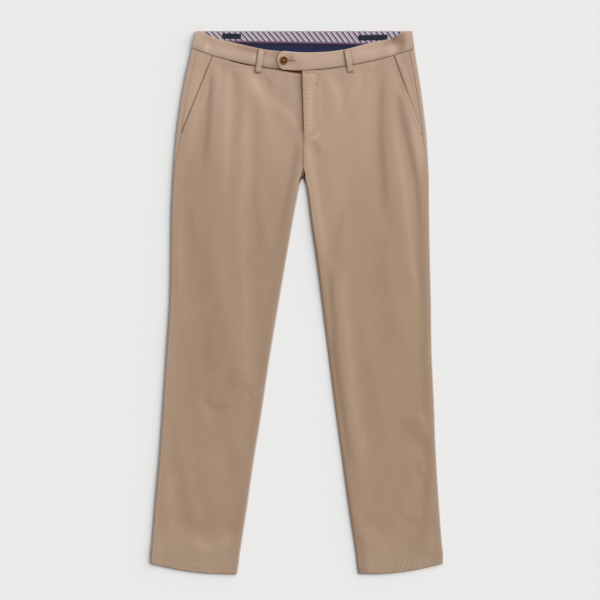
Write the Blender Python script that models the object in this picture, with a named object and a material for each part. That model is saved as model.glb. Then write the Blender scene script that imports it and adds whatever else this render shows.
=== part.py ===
"""Chino trousers laid flat on their back, front side up.

X runs to the viewer's right, Y towards the waist and Z up off the surface.
"Right" and "left" are the wearer's, so the right half has the negative X.
Sizes are in millimetres until a mesh is made, and meshes are in metres.

Each half is one tube of cloth cut at its seams. The back lies on the surface,
turns up round the side fold and the inner fold, and meets the front on top.
"""

import math
from dataclasses import dataclass
from typing import Callable, NamedTuple

import bmesh
import bpy
from mathutils import Vector

MM = 0.001
BOX_CENTRE_X = -0.1
BOX_CENTRE_Y = 0.49

GAP = 0.3
CLOTH_WALL = 1.3
HEM_WALL = 2.1
BAND_WALL = 1.6
TRIM_WALL = 1.0
FLY_LAYER = 0.9

FOLD_TOP = 6.2
PANEL_TOP = 5.0
PANEL_TOP_AT_WAIST = 6.5
HIGHEST_PANEL = 6.5
LEAST_AIR = 0.6
WAIST_FADE = 45.0
FOLD_FLAT = 4.0
FOLD_FADE = 24.0
INSEAM_IN = 3.4
LEVEL_STEP = 40.0

WEARER_RIGHT = -1
WEARER_LEFT = 1


class Upper(NamedTuple):
    """One level of both halves, from the waist seam down to the fork."""

    name: str
    right_x: float
    left_x: float
    side_y: float
    centre_x: float
    centre_y: float
    seat_y: float
    bow_right: float
    bow_left: float
    base: float


UPPER = (
    Upper("waist seam", -221.1, 247.6, 534.5, 11.3, 484.5, 532.8, 10.5, 8.6, 1.5),
    Upper("loop feet", -225.3, 250.7, 517.7, 11.6, 469.4, 516.0, 9.0, 7.5, 1.5),
    Upper("yoke", -230.8, 254.3, 497.0, 12.1, 452.0, 495.0, 7.0, 6.0, 0.0),
    Upper("hip", -236.4, 258.6, 472.0, 12.6, 430.0, 462.0, 5.0, 4.0, 0.0),
    Upper("pocket", -245.7, 265.7, 419.0, 14.1, 383.3, 394.0, 2.0, 1.5, 0.0),
    Upper("pocket foot", -253.5, 272.4, 362.3, 14.5, 337.1, 337.1, 0.0, 0.0, 0.0),
    Upper("seat", -256.6, 275.1, 328.7, 13.9, 309.8, 299.3, 0.0, 0.0, 0.0),
)

CENTRE_BACK_X = 13.5


class Lower(NamedTuple):
    """One level of a leg: its side fold, its inseam on top and its inner fold."""

    name: str
    side_x: float
    side_y: float
    seam_x: float
    seam_y: float
    fold_x: float
    fold_y: float


CROTCH_RIGHT = (
    Lower("fork", -258.9, 303.5, 12.7, 286.7, 13.35, 262.6),
    Lower("under fork", -259.8, 290.9, 11.8, 277.2, 12.0, 262.2),
    Lower("crotch", -260.6, 278.3, 9.7, 268.2, 10.4, 261.4),
    Lower("inseam", -261.2, 267.8, 5.5, 258.3, 8.8, 258.7),
)

CROTCH_LEFT = (
    Lower("fork", 276.6, 303.5, 13.3, 286.7, 13.65, 262.6),
    Lower("under fork", 277.2, 288.8, 15.5, 272.0, 16.4, 256.6),
    Lower("crotch", 277.8, 276.2, 17.9, 258.9, 18.9, 251.8),
    Lower("inseam", 278.3, 263.6, 23.3, 245.7, 20.0, 246.1),
)


class Leg(NamedTuple):
    """One level of a leg below the crotch, with how far its line bows down."""

    name: str
    side_x: float
    side_y: float
    fold_x: float
    fold_y: float
    bow: float
    wall: float


LEG_RIGHT = (
    Leg("top of thigh", -262.1, 253.1, 2.3, 232.1, 0.0, CLOTH_WALL),
    Leg("thigh", -265.0, 190.1, -10.3, 167.0, 0.0, CLOTH_WALL),
    Leg("mid thigh", -265.9, 110.3, -23.5, 85.1, 0.0, CLOTH_WALL),
    Leg("low thigh", -268.0, 5.3, -41.0, -20.0, 0.0, CLOTH_WALL),
    Leg("knee", -274.9, -99.8, -58.2, -125.0, 0.0, CLOTH_WALL),
    Leg("calf", -281.6, -204.8, -73.3, -227.9, 0.0, CLOTH_WALL),
    Leg("shin", -289.0, -309.8, -90.3, -332.9, 0.0, CLOTH_WALL),
    Leg("low shin", -298.4, -414.8, -105.4, -437.9, 3.0, CLOTH_WALL),
    Leg("ankle", -305.1, -498.8, -118.2, -520.8, 6.0, CLOTH_WALL),
    Leg("hem stitch", -308.3, -526.5, -121.8, -549.6, 7.3, HEM_WALL),
    Leg("hem", -308.5, -547.1, -125.4, -570.2, 7.3, HEM_WALL),
)

LEG_LEFT = (
    Leg("top of thigh", 278.5, 244.7, 21.2, 225.8, 0.0, CLOTH_WALL),
    Leg("thigh", 278.9, 183.8, 28.4, 164.9, 0.0, CLOTH_WALL),
    Leg("mid thigh", 279.9, 110.3, 39.9, 89.3, 0.0, CLOTH_WALL),
    Leg("low thigh", 282.5, 5.3, 51.5, -15.8, 0.0, CLOTH_WALL),
    Leg("knee", 283.9, -99.8, 66.2, -120.8, 0.0, CLOTH_WALL),
    Leg("calf", 288.6, -204.8, 79.8, -226.8, 0.0, CLOTH_WALL),
    Leg("shin", 292.5, -309.8, 92.4, -331.8, 0.0, CLOTH_WALL),
    Leg("low shin", 298.8, -414.8, 106.7, -437.9, 3.0, CLOTH_WALL),
    Leg("ankle", 305.1, -498.8, 119.7, -520.8, 6.0, CLOTH_WALL),
    Leg("hem stitch", 308.0, -526.5, 124.2, -549.6, 7.3, HEM_WALL),
    Leg("hem", 308.3, -547.1, 128.7, -570.2, 7.3, HEM_WALL),
)


class Crease(NamedTuple):
    """One soft fold: a ridge where rise is positive, a trough where it is negative."""

    name: str
    start_x: float
    start_y: float
    end_x: float
    end_y: float
    bend: float
    half_width: float
    rise: float


CREASES = (
    Crease("right pocket trough", -178.0, 492.0, -196.0, 268.0, -5.0, 9.0, -1.5),
    Crease("right front ridge", -150.0, 485.0, -146.0, 225.0, 3.0, 14.0, 1.1),
    Crease("right middle trough", -124.0, 470.0, -126.0, 290.0, 2.0, 9.0, -0.9),
    Crease("right inner ridge", -106.0, 440.0, -100.0, 120.0, 3.0, 12.0, 0.9),
    Crease("right drag from loop", -92.0, 485.0, 4.0, 362.0, 4.0, 11.0, 1.5),
    Crease("right hollow by fly", -52.0, 440.0, -20.0, 350.0, -3.0, 14.0, -0.9),
    Crease("right hip hollow", -82.0, 420.0, -84.0, 300.0, 0.0, 14.0, -0.8),
    Crease("right side ridge", -244.0, 230.0, -246.0, -180.0, 6.0, 16.0, 0.8),
    Crease("right thigh trough", -216.0, 240.0, -186.0, 60.0, 4.0, 18.0, -1.1),
    Crease("right thigh ridge", -104.0, 150.0, -98.0, -110.0, 8.0, 17.0, 1.2),
    Crease("right knee hollow", -186.0, 60.0, -166.0, -180.0, -6.0, 26.0, -1.3),
    Crease("right knee crease", -186.0, -200.0, -92.0, -206.0, -9.0, 8.0, -1.0),
    Crease("right knee ridge", -202.0, -190.0, -192.0, -290.0, -3.0, 10.0, 0.9),
    Crease("right inner knee ridge", -92.0, -110.0, -78.0, -196.0, 3.0, 9.0, 0.9),
    Crease("right shin ridge", -272.0, -345.0, -216.0, -480.0, -10.0, 11.0, 1.2),
    Crease("right ankle bowl", -216.0, -480.0, -130.0, -478.0, -22.0, 10.0, 1.4),
    Crease("right ankle hollow", -206.0, -455.0, -122.0, -440.0, -8.0, 13.0, -1.3),
    Crease("left pocket trough", 178.0, 500.0, 186.0, 180.0, -5.0, 10.0, -1.5),
    Crease("left front ridge", 198.0, 455.0, 236.0, 100.0, 6.0, 12.0, 1.1),
    Crease("left side trough", 222.0, 425.0, 268.0, 110.0, 8.0, 8.0, -1.3),
    Crease("left crotch hollow", 20.0, 335.0, 50.0, 314.0, 0.0, 7.0, -0.8),
    Crease("left crotch ridge", 28.0, 318.0, 40.0, 220.0, -3.0, 10.0, 1.2),
    Crease("left inner trough", 64.0, 60.0, 92.0, -190.0, -5.0, 9.0, -1.4),
    Crease("left inner ridge", 92.0, 80.0, 112.0, -180.0, -4.0, 13.0, 0.9),
    Crease("left shin ridge", 112.0, -252.0, 166.0, -430.0, 12.0, 13.0, 1.2),
    Crease("left knee crease", 228.0, -244.0, 276.0, -280.0, -5.0, 8.0, -1.3),
    Crease("left knee ridge", 256.0, -232.0, 280.0, -268.0, 2.0, 7.0, 0.9),
    Crease("left side hollow", 252.0, -330.0, 274.0, -510.0, 6.0, 9.0, -1.3),
    Crease("left ankle ridge", 132.0, -462.0, 192.0, -490.0, 5.0, 15.0, 1.0),
    Crease("left ankle hollow", 216.0, -448.0, 262.0, -470.0, 0.0, 20.0, -0.9),
)


class SidePocket(NamedTuple):
    """A slant pocket: its mouth from the waist seam to the side seam, and that seam."""

    mouth_top_x: float
    mouth_top_y: float
    mouth_foot_x: float
    mouth_foot_y: float
    seam_in_at_waist: float
    seam_in_at_foot: float


POCKETS = {
    WEARER_RIGHT: SidePocket(-177.8, 516.0, -241.0, 359.0, 13.0, 11.5),
    WEARER_LEFT: SidePocket(203.5, 517.0, 263.0, 355.0, 12.0, 9.0),
}

SEAM_SETTLES_Y = 280.0
POCKET_UNDERLAP = 12.0
POCKET_FADE = 14.0
POCKET_STEP = CLOTH_WALL + 0.6
POCKET_LAYER = CLOTH_WALL + 2 * GAP
COIN_POCKET_X = (-150.0, -90.0)
COIN_POCKET_GAPE = 1.1

FLY_UNDERLAP = 8.0
FLY_STEP = CLOTH_WALL + 0.45
FLY_RAISE = 2.2
FLY_HALF_WIDTH = 22.0
FLY_FOOT_Y = 356.0
FLY_DIP_WIDTH = 14.0
FLY_DIP_Y = (310.0, 336.0)


class BandFront(NamedTuple):
    """One place along the front run of the band: its seam, its top edge and heights."""

    name: str
    seam_x: float
    top_x: float
    top_y: float
    seam_z: float
    top_z: float


BAND_UNDER_Z = 1.5
BAND_FOLD_Z = 8.0
BAND_BACK_TOP_Y = 571.2
BAND_CROWN = 0.25

BAND_RIGHT = (
    BandFront("side fold", -221.1, -211.7, 571.2, 8.0, 8.0),
    BandFront("top turns in", -203.0, -200.0, 570.2, 8.0, 8.2),
    BandFront("corner", -190.0, -189.2, 564.3, 8.0, 8.2),
    BandFront("over pocket", -175.4, -173.9, 556.5, 8.0, 8.2),
    BandFront("hip", -151.2, -150.8, 550.8, 7.9, 8.1),
    BandFront("coin pocket", -118.7, -118.9, 543.5, 7.8, 8.0),
    BandFront("loop", -78.8, -77.5, 534.5, 7.4, 7.6),
    BandFront("under tab", -47.0, -46.0, 530.0, 6.9, 6.9),
    BandFront("centre front", -6.0, -6.0, 527.0, 6.9, 6.9),
    BandFront("end", 34.7, 34.7, 526.0, 6.9, 6.9),
)

BAND_LEFT = (
    BandFront("side fold", 247.6, 242.6, 571.2, 8.0, 8.0),
    BandFront("top turns in", 230.0, 225.5, 570.0, 8.0, 8.2),
    BandFront("corner", 216.0, 211.1, 561.8, 8.0, 8.2),
    BandFront("over pocket", 196.0, 190.9, 553.8, 8.0, 8.2),
    BandFront("hip", 168.0, 164.2, 548.5, 8.0, 8.2),
    BandFront("outside loop", 136.0, 134.2, 541.0, 8.0, 8.3),
    BandFront("loop", 101.0, 101.0, 532.6, 8.2, 8.5),
    BandFront("inside loop", 63.6, 63.6, 527.5, 8.8, 8.9),
    BandFront("centre front", 15.3, 15.3, 526.0, 8.9, 8.9),
    BandFront("root of tab end", -26.7, -26.7, 528.9, 8.9, 8.9),
)

TAB_END_LENGTH = 14.7
TAB_END_TURNS = (25.0, 48.0, 68.0, 83.0)
BUTTONHOLE_X = (-23.0, -3.6)
BUTTONHOLE_Y = 507.0
BUTTONHOLE_WIDTH = 0.8
BUTTONHOLE_Z = (7.15, 12.0)

FACING_Z = BAND_UNDER_Z + BAND_WALL + GAP
FACING_X = (-205.0, 236.0)
FACING_TOP_Y = 570.2
FACING_FOOT_Y = (553.0, 545.4)
PIPING_WIDTH = 2.2
PIPING_HEIGHT = 1.7
CURTAIN_X = (-160.0, 174.0)
CURTAIN_FOOT_Y = 513.0


class Label(NamedTuple):
    """A woven label on the facing."""

    node: str
    centre_x: float
    centre_y: float
    length: float
    height: float
    turn: float


LABELS = (
    Label("label_small", -136.5, 560.6, 39.0, 11.0, -1.5),
    Label("label_large", 160.5, 557.8, 61.0, 11.4, 1.2),
)


class FrontLoop(NamedTuple):
    """A belt loop on the front: where its two ends are sewn."""

    node: str
    top_x: float
    top_y: float
    foot_x: float
    foot_y: float


FRONT_LOOPS = (
    FrontLoop("belt_loop_front_right", -74.3, 533.2, -81.7, 483.0),
    FrontLoop("belt_loop_front_left", 104.6, 532.4, 113.4, 484.0),
)
BACK_LOOPS = (
    ("belt_loop_back_right", -150.0),
    ("belt_loop_back_centre", CENTRE_BACK_X),
    ("belt_loop_back_left", 177.0),
)
LOOP_WIDTH = 12.5
LOOP_WALL = 1.6
LOOP_RISE = 1.9
LOOP_CLEAR = GAP + BAND_CROWN + 0.15
BACK_LOOP_Y = (520.0, 570.0)
BACK_LOOP_WALL = 1.2

SHIELD_X = (-7.0, 33.0)
SHIELD_Y = (376.0, 478.0)
SHIELD_Z = 1.6
ZIP_X = (-1.0, 27.0)
ZIP_Y = (384.0, 476.0)
ZIP_Z = 2.9

BUTTON_X = -26.5
BUTTON_Y = 507.6
BUTTON_SIDES = 32
THREAD_HOLE_RADIUS = 1.0
THREAD_HOLE_OFFSET = 1.9
THREAD_HOLE_SIDES = 12
THREAD_HOLE_DEPTH = 8.0
BUTTON_PROFILE = ((5.6, 0.0), (8.0, 0.5), (8.75, 1.5), (8.0, 2.8), (7.0, 3.0), (5.6, 2.2))


@dataclass(frozen=True)
class Finish:
    """A Principled material: linear colour, roughness and metallic value."""

    name: str
    colour: tuple[float, float, float]
    roughness: float
    metallic: float = 0.0

    def material(self) -> bpy.types.Material:
        """Make the material, or return it if it is already there."""
        found = bpy.data.materials.get(self.name)
        if found:
            return found
        made = bpy.data.materials.new(self.name)
        made.use_nodes = True
        shader = made.node_tree.nodes["Principled BSDF"]
        shader.inputs["Base Color"].default_value = (*self.colour, 1.0)
        shader.inputs["Roughness"].default_value = self.roughness
        shader.inputs["Metallic"].default_value = self.metallic
        made.diffuse_color = (*self.colour, 1.0)
        return made


TWILL = ("twill", (0.434, 0.305, 0.223), 0.85)
STRIPE = ("stripe", (0.58, 0.50, 0.58), 0.8)
PIPING = ("piping", (0.10, 0.03, 0.08), 0.7)
CURTAIN = ("curtain", (0.012, 0.016, 0.055), 0.75)
WOVEN_LABEL = ("label", (0.010, 0.012, 0.025), 0.7)
ZIP_TAPE = ("zip_tape", (0.30, 0.22, 0.16), 0.8)
HORN = ("horn", (0.12, 0.04, 0.012), 0.3)


@dataclass(frozen=True)
class Level:
    """One cross line of a half, as the front and the back share it."""

    side: Vector
    seam: Vector
    fold: Vector
    bow: float
    base: float
    wall: float
    in_leg: bool

    @property
    def fold_top(self) -> float:
        """Height of the top of the side fold."""
        return FOLD_TOP + self.base * 2 / 3

    @property
    def fold_radius(self) -> float:
        """Outer radius of the side fold and the inner fold."""
        return (self.fold_top - self.base) / 2

    def across(self, share: float) -> Vector:
        """The point on top at a share of the way from the side fold to the seam."""
        point = self.side.lerp(self.seam, share)
        point.y -= self.bow * 4 * share * (1 - share)
        return point

    def length(self) -> float:
        """Distance from the side fold to the seam."""
        return (self.seam - self.side).length


def ease(low: float, high: float, value: float) -> float:
    """Rise smoothly from 0 at low to 1 at high."""
    share = min(max((value - low) / (high - low), 0.0), 1.0)
    return share * share * (3 - 2 * share)


def curve_value(values: list[float], share: float) -> float:
    """Read a smooth curve through four values, between the middle two."""
    before, start, end, after = values
    rise_in = (end - before) / 2
    rise_out = (after - start) / 2
    squared = share * share
    cubed = squared * share
    return (
        (2 * cubed - 3 * squared + 1) * start
        + (cubed - 2 * squared + share) * rise_in
        + (3 * squared - 2 * cubed) * end
        + (cubed - squared) * rise_out
    )


def stations(half: int) -> list[list[float]]:
    """List one half's levels as rows of numbers, from the waist seam to the hem."""
    right = half == WEARER_RIGHT
    rows = []
    for level in UPPER:
        side_x = level.right_x if right else level.left_x
        bow = level.bow_right if right else level.bow_left
        centre_back = CENTRE_BACK_X + half * GAP / 2
        rows.append(
            [side_x, level.side_y, level.centre_x, level.centre_y]
            + [centre_back, level.seat_y, bow, level.base, CLOTH_WALL]
        )
    for level in CROTCH_RIGHT if right else CROTCH_LEFT:
        rows.append([*level[1:], 0.0, 0.0, CLOTH_WALL])
    for level in LEG_RIGHT if right else LEG_LEFT:
        side = Vector((level.side_x, level.side_y))
        fold = Vector((level.fold_x, level.fold_y))
        seam = fold + (side - fold).normalized() * INSEAM_IN
        rows.append([*side, *seam, *fold, level.bow, 0.0, level.wall])
    return rows


def levels(half: int) -> list[Level]:
    """List one half's levels, with smooth ones added between those far apart."""
    rows = stations(half)
    fork = len(UPPER)
    crotch_end = fork + len(CROTCH_RIGHT)
    found = []
    for index, row in enumerate(rows):
        found.append((row, index >= fork))
        if index + 1 == len(rows):
            break
        following = rows[index + 1]
        steps = round(abs(following[1] - row[1]) / LEVEL_STEP)
        if fork - 1 <= index < crotch_end or steps < 2:
            continue
        before = rows[max(index - 1, 0)]
        after = rows[min(index + 2, len(rows) - 1)]
        for step in range(1, steps):
            between = [
                curve_value(list(values), step / steps)
                for values in zip(before, row, following, after)
            ]
            found.append((between, index >= fork))
    return [
        Level(
            side=Vector(row[0:2]),
            seam=Vector(row[2:4]),
            fold=Vector(row[4:6]),
            bow=row[6],
            base=max(row[7], 0.0),
            wall=row[8],
            in_leg=in_leg,
        )
        for row, in_leg in found
    ]


def waist_y(x: float) -> float:
    """Height on the sheet of the front waist seam at x."""
    top = UPPER[0]
    side_x = top.right_x if x < top.centre_x else top.left_x
    bow = top.bow_right if x < top.centre_x else top.bow_left
    share = (x - side_x) / (top.centre_x - side_x)
    straight = top.side_y + (top.centre_y - top.side_y) * share
    return straight - bow * 4 * share * (1 - share)


def creases(point: Vector) -> float:
    """Add up the rise of every crease at a point."""
    total = 0.0
    for crease in CREASES:
        start = Vector((crease.start_x, crease.start_y))
        along = Vector((crease.end_x, crease.end_y)) - start
        length = along.length
        along.normalize()
        offset = point - start
        share = offset.dot(along) / length
        if not 0.0 < share < 1.0:
            continue
        sideways = offset.x * -along.y + offset.y * along.x
        sideways -= crease.bend * 4 * share * (1 - share)
        taper = ease(0.0, 0.3, share) * ease(0.0, 0.3, 1 - share)
        total += crease.rise * taper * math.exp(-((sideways / crease.half_width) ** 2))
    return total


def fly_bump(point: Vector) -> float:
    """Share of the fly's raise at a point."""
    distance = abs(point.x - UPPER[0].centre_x)
    across = 1 - ease(FLY_HALF_WIDTH * 0.4, FLY_HALF_WIDTH * 1.6, distance)
    return across * ease(FLY_FOOT_Y - 30, FLY_FOOT_Y + 10, point.y)


def seam_inset(half: int, y: float) -> float:
    """Distance from the side fold in to the side seam on top."""
    pocket = POCKETS[half]
    top = UPPER[0].side_y
    if y > pocket.mouth_foot_y:
        share = (top - y) / (top - pocket.mouth_foot_y)
        return pocket.seam_in_at_waist + (pocket.seam_in_at_foot - pocket.seam_in_at_waist) * share
    share = ease(SEAM_SETTLES_Y, pocket.mouth_foot_y, y)
    return INSEAM_IN + (pocket.seam_in_at_foot - INSEAM_IN) * share


def front_inset(half: int, level: Level) -> float:
    """Distance from the side fold in to the front panel's edge along a level."""
    inset = seam_inset(half, level.side.y)
    pocket = POCKETS[half]
    top = Vector((pocket.mouth_top_x, pocket.mouth_top_y))
    foot = Vector((pocket.mouth_foot_x, pocket.mouth_foot_y))
    if level.side.y < foot.y:
        return inset
    share = 0.0
    for _ in range(6):
        y = level.across(share).y
        mouth_x = top.x + (foot.x - top.x) * (top.y - y) / (top.y - foot.y)
        share = (mouth_x - level.side.x) / (level.seam.x - level.side.x)
    return max(share * level.length(), inset)


def over_facing(half: int, level: Level, point: Vector) -> float:
    """Share of a pocket facing's thickness that lies below a point."""
    foot_y = POCKETS[half].mouth_foot_y
    if level.side.y < foot_y - POCKET_FADE:
        return 0.0
    reach = front_inset(half, level) + POCKET_UNDERLAP
    across = 1 - ease(reach + 1, reach + POCKET_FADE, abs(point.x - level.side.x))
    return across * ease(foot_y - POCKET_FADE, foot_y, level.side.y)


def top_height(half: int, level: Level, point: Vector) -> float:
    """Height of the upper surface of the cloth at a point on a level."""
    from_side = abs(point.x - level.side.x)
    flat = max(FOLD_FLAT, seam_inset(half, level.side.y) + 2)
    held = 1 - ease(flat, flat + FOLD_FADE, from_side)
    mask = ease(flat - 1, flat + 10, from_side)
    if level.in_leg:
        from_fold = abs(point.x - level.fold.x)
        inner_reach = min(abs(level.seam.x - level.fold.x) + 1, FOLD_FLAT)
        held = max(held, 1 - ease(inner_reach, inner_reach + FOLD_FADE, from_fold))
        mask *= ease(inner_reach, inner_reach + 11, from_fold)
    below_waist = waist_y(point.x) - point.y
    rise = (PANEL_TOP_AT_WAIST - PANEL_TOP) * (1 - ease(0, WAIST_FADE, below_waist))
    lowest = 2 * level.wall + LEAST_AIR + POCKET_LAYER * over_facing(half, level, point)
    middle = (lowest + HIGHEST_PANEL) / 2
    reach = (HIGHEST_PANEL - lowest) / 2
    fly = fly_bump(point)
    wanted = PANEL_TOP + rise + creases(point) * mask * (1 - fly)
    panel = middle + reach * math.tanh((wanted - middle) / reach)
    height = panel + (level.fold_top - panel) * held
    return height + FLY_RAISE * fly


def metres(point: Vector) -> Vector:
    """Move a point to the box's centre and turn it into metres."""
    return Vector((point.x - BOX_CENTRE_X, point.y - BOX_CENTRE_Y, point.z)) * MM


def link(name: str, mesh: bpy.types.Mesh, finish: tuple) -> bpy.types.Object:
    """Put a mesh in the scene as one named solid, shaded smooth."""
    mesh.materials.append(Finish(*finish).material())
    mesh.shade_smooth()
    mesh.set_sharp_from_angle(angle=math.radians(40))
    made = bpy.data.objects.new(name, mesh)
    bpy.context.scene.collection.objects.link(made)
    return made


def solid_wall(name: str, faces: list, outer: list, inner: list, finish: tuple) -> bpy.types.Object:
    """Close a wall between two sheets that share the same faces."""
    form = bmesh.new()
    skin = [form.verts.new(metres(point)) for point in outer]
    lining = [form.verts.new(metres(point)) for point in inner]
    used = {}
    for face in faces:
        form.faces.new([skin[index] for index in face])
        form.faces.new([lining[index] for index in reversed(face)])
        for start, end in zip(face, face[1:] + face[:1]):
            used[frozenset((start, end))] = (start, end, frozenset((start, end)) in used)
    for start, end, shared in used.values():
        if not shared:
            form.faces.new((skin[end], skin[start], lining[start], lining[end]))
    bmesh.ops.recalc_face_normals(form, faces=form.faces)
    mesh = bpy.data.meshes.new(name)
    form.to_mesh(mesh)
    form.free()
    return link(name, mesh, finish)


def grid_faces(rows: int, columns: int) -> list[list[int]]:
    """List the four-sided faces of a full grid."""
    return [
        [row * columns + column, row * columns + column + 1]
        + [(row + 1) * columns + column + 1, (row + 1) * columns + column]
        for row in range(rows - 1)
        for column in range(columns - 1)
    ]


def dropped(points: list, wall: float) -> list:
    """The same points, lower by the wall."""
    return [point - Vector((0, 0, wall)) for point in points]


def front_panel(half: int) -> bpy.types.Object:
    """The front of one half, from the pocket mouth and side seam to the centre and inseam."""
    columns = 19
    right = half == WEARER_RIGHT
    outer = []
    inner = []
    rows = levels(half)
    for index, level in enumerate(rows):
        length = level.length()
        start = front_inset(half, level)
        end = length - GAP / 2
        lap = 0.0
        if right and not level.in_leg:
            lap = FLY_UNDERLAP * ease(FLY_FOOT_Y, FLY_FOOT_Y + 12, level.seam.y)
            end += lap
        on_seam = start <= seam_inset(half, level.side.y)
        start += GAP / 2 if on_seam else 0.0
        for column in range(columns):
            run = start + (end - start) * column / (columns - 1)
            point = level.across(run / length)
            if index == 0:
                low, high = COIN_POCKET_X
                gape = ease(low, low + 6, point.x) * ease(-high, 6 - high, -point.x)
                point.y -= COIN_POCKET_GAPE * gape
            height = top_height(half, level, point)
            if right:
                dip = ease(level.seam.x - FLY_DIP_WIDTH, level.seam.x - 2, point.x)
                height -= FLY_STEP * dip * ease(FLY_DIP_Y[0], FLY_DIP_Y[1], level.seam.y)
            outer.append(Vector((point.x, point.y, height)))
            inner.append(Vector((point.x, point.y, height - level.wall)))
    side = "right" if right else "left"
    faces = grid_faces(len(rows), columns)
    return solid_wall(f"front_{side}", faces, outer, inner, TWILL)


def arc_points(edge: Vector, away: Vector, level: Level, turns: list[float]) -> list[tuple]:
    """Outer and inner points round a fold whose outermost line passes through edge."""
    centre = edge - away * level.fold_radius
    middle = level.base + level.fold_radius
    found = []
    for turn in turns:
        pair = []
        for radius in (level.fold_radius, level.fold_radius - level.wall):
            flat = centre + away * radius * math.sin(turn)
            pair.append(Vector((flat.x, flat.y, middle - radius * math.cos(turn))))
        found.append(tuple(pair))
    return found


def back_panel(half: int) -> bpy.types.Object:
    """The back of one half: side seam, side fold, underside, inner fold and inseam."""
    turns = [math.pi * step / 4 for step in range(5)]
    floor_shares = (0.15, 0.4, 0.65, 0.88)
    rows = []
    for level in levels(half):
        across = (level.seam - level.side).normalized()
        inset = seam_inset(half, level.side.y) - GAP / 2
        row = []
        for run in (inset, (inset + level.fold_radius) / 2):
            point = level.across(run / level.length())
            height = top_height(half, level, point)
            top = Vector((point.x, point.y, height))
            row.append((top, top - Vector((0, 0, level.wall))))
        row.extend(reversed(arc_points(level.side, -across, level, turns)))
        start = row[-1][0]
        inner_fold = []
        end = Vector((level.fold.x, level.fold.y, level.base))
        if level.in_leg:
            seam = level.seam - Vector((half * GAP / 2, 0))
            away = (level.fold - level.seam).normalized()
            inner_fold = arc_points(level.fold, away, level, turns)
            lip = Vector((seam.x, seam.y, inner_fold[-1][0].z))
            inner_fold.append((lip, lip - Vector((0, 0, level.wall))))
            end = inner_fold[0][0]
        for share in floor_shares:
            point = start.lerp(end, share)
            point.y -= level.bow * 4 * share * (1 - share) * level.in_leg
            row.append((point, point + Vector((0, 0, level.wall))))
        row.extend(inner_fold if inner_fold else [(end, end + Vector((0, 0, level.wall)))])
        rows.append(row)
    starts = []
    outer = []
    inner = []
    for row in rows:
        starts.append(len(outer))
        outer.extend(pair[0] for pair in row)
        inner.extend(pair[1] for pair in row)
    faces = []
    for index, row in enumerate(rows[:-1]):
        here = starts[index]
        there = starts[index + 1]
        for column in range(min(len(row), len(rows[index + 1])) - 1):
            faces.append([here + column, here + column + 1, there + column + 1, there + column])
    side = "right" if half == WEARER_RIGHT else "left"
    return solid_wall(f"back_{side}", faces, outer, inner, TWILL)


def pocket_facing(half: int) -> bpy.types.Object:
    """The shell-cloth facing that shows between the pocket's mouth and the side seam."""
    columns = 6
    outer = []
    rows = 0
    for level in levels(half):
        if level.side.y < POCKETS[half].mouth_foot_y:
            break
        rows += 1
        seam = seam_inset(half, level.side.y)
        mouth = front_inset(half, level)
        end = mouth + POCKET_UNDERLAP
        closing = 1 - ease(2, 8, mouth - seam)
        for column in range(columns):
            run = seam + GAP / 2 + (end - seam - GAP / 2) * column / (columns - 1)
            point = level.across(run / level.length())
            depth = POCKET_STEP * max(ease(seam, max(mouth - 1, seam + 5), run), closing)
            height = top_height(half, level, point) - depth
            outer.append(Vector((point.x, point.y, height)))
    side = "right" if half == WEARER_RIGHT else "left"
    inner = dropped(outer, CLOTH_WALL)
    faces = grid_faces(rows, columns)
    return solid_wall(f"pocket_facing_{side}", faces, outer, inner, TWILL)


def band_front(half: int) -> list[tuple[Vector, Vector]]:
    """Seam and top edge points along the front run, from the side fold to the far end."""
    rows = BAND_RIGHT if half == WEARER_RIGHT else BAND_LEFT
    found = []
    for index, row in enumerate(rows):
        steps = 1 if index + 1 == len(rows) else 2
        before = rows[max(index - 1, 0)]
        following = rows[min(index + 1, len(rows) - 1)]
        after = rows[min(index + 2, len(rows) - 1)]
        for step in range(steps):
            values = [
                curve_value(list(column), step / steps)
                for column in zip(before[1:], row[1:], following[1:], after[1:])
            ]
            seam_x, top_x, top_y, seam_z, top_z = values
            seam = Vector((seam_x, waist_y(seam_x) + GAP + 0.1, seam_z))
            found.append((seam, Vector((top_x, top_y, top_z))))
    return found


def tab_end(root: tuple[Vector, Vector]) -> list[tuple[Vector, Vector]]:
    """The rounded end of the tab, as seam and top points that close in on each other."""
    middle = (root[0] + root[1]) / 2
    half_height = (root[1] - root[0]) / 2
    found = []
    for degrees in TAB_END_TURNS:
        turn = math.radians(degrees)
        reach = Vector((-TAB_END_LENGTH * math.sin(turn), 0, 0))
        spread = half_height * math.cos(turn)
        found.append((middle + reach - spread, middle + reach + spread))
    return found


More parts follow.
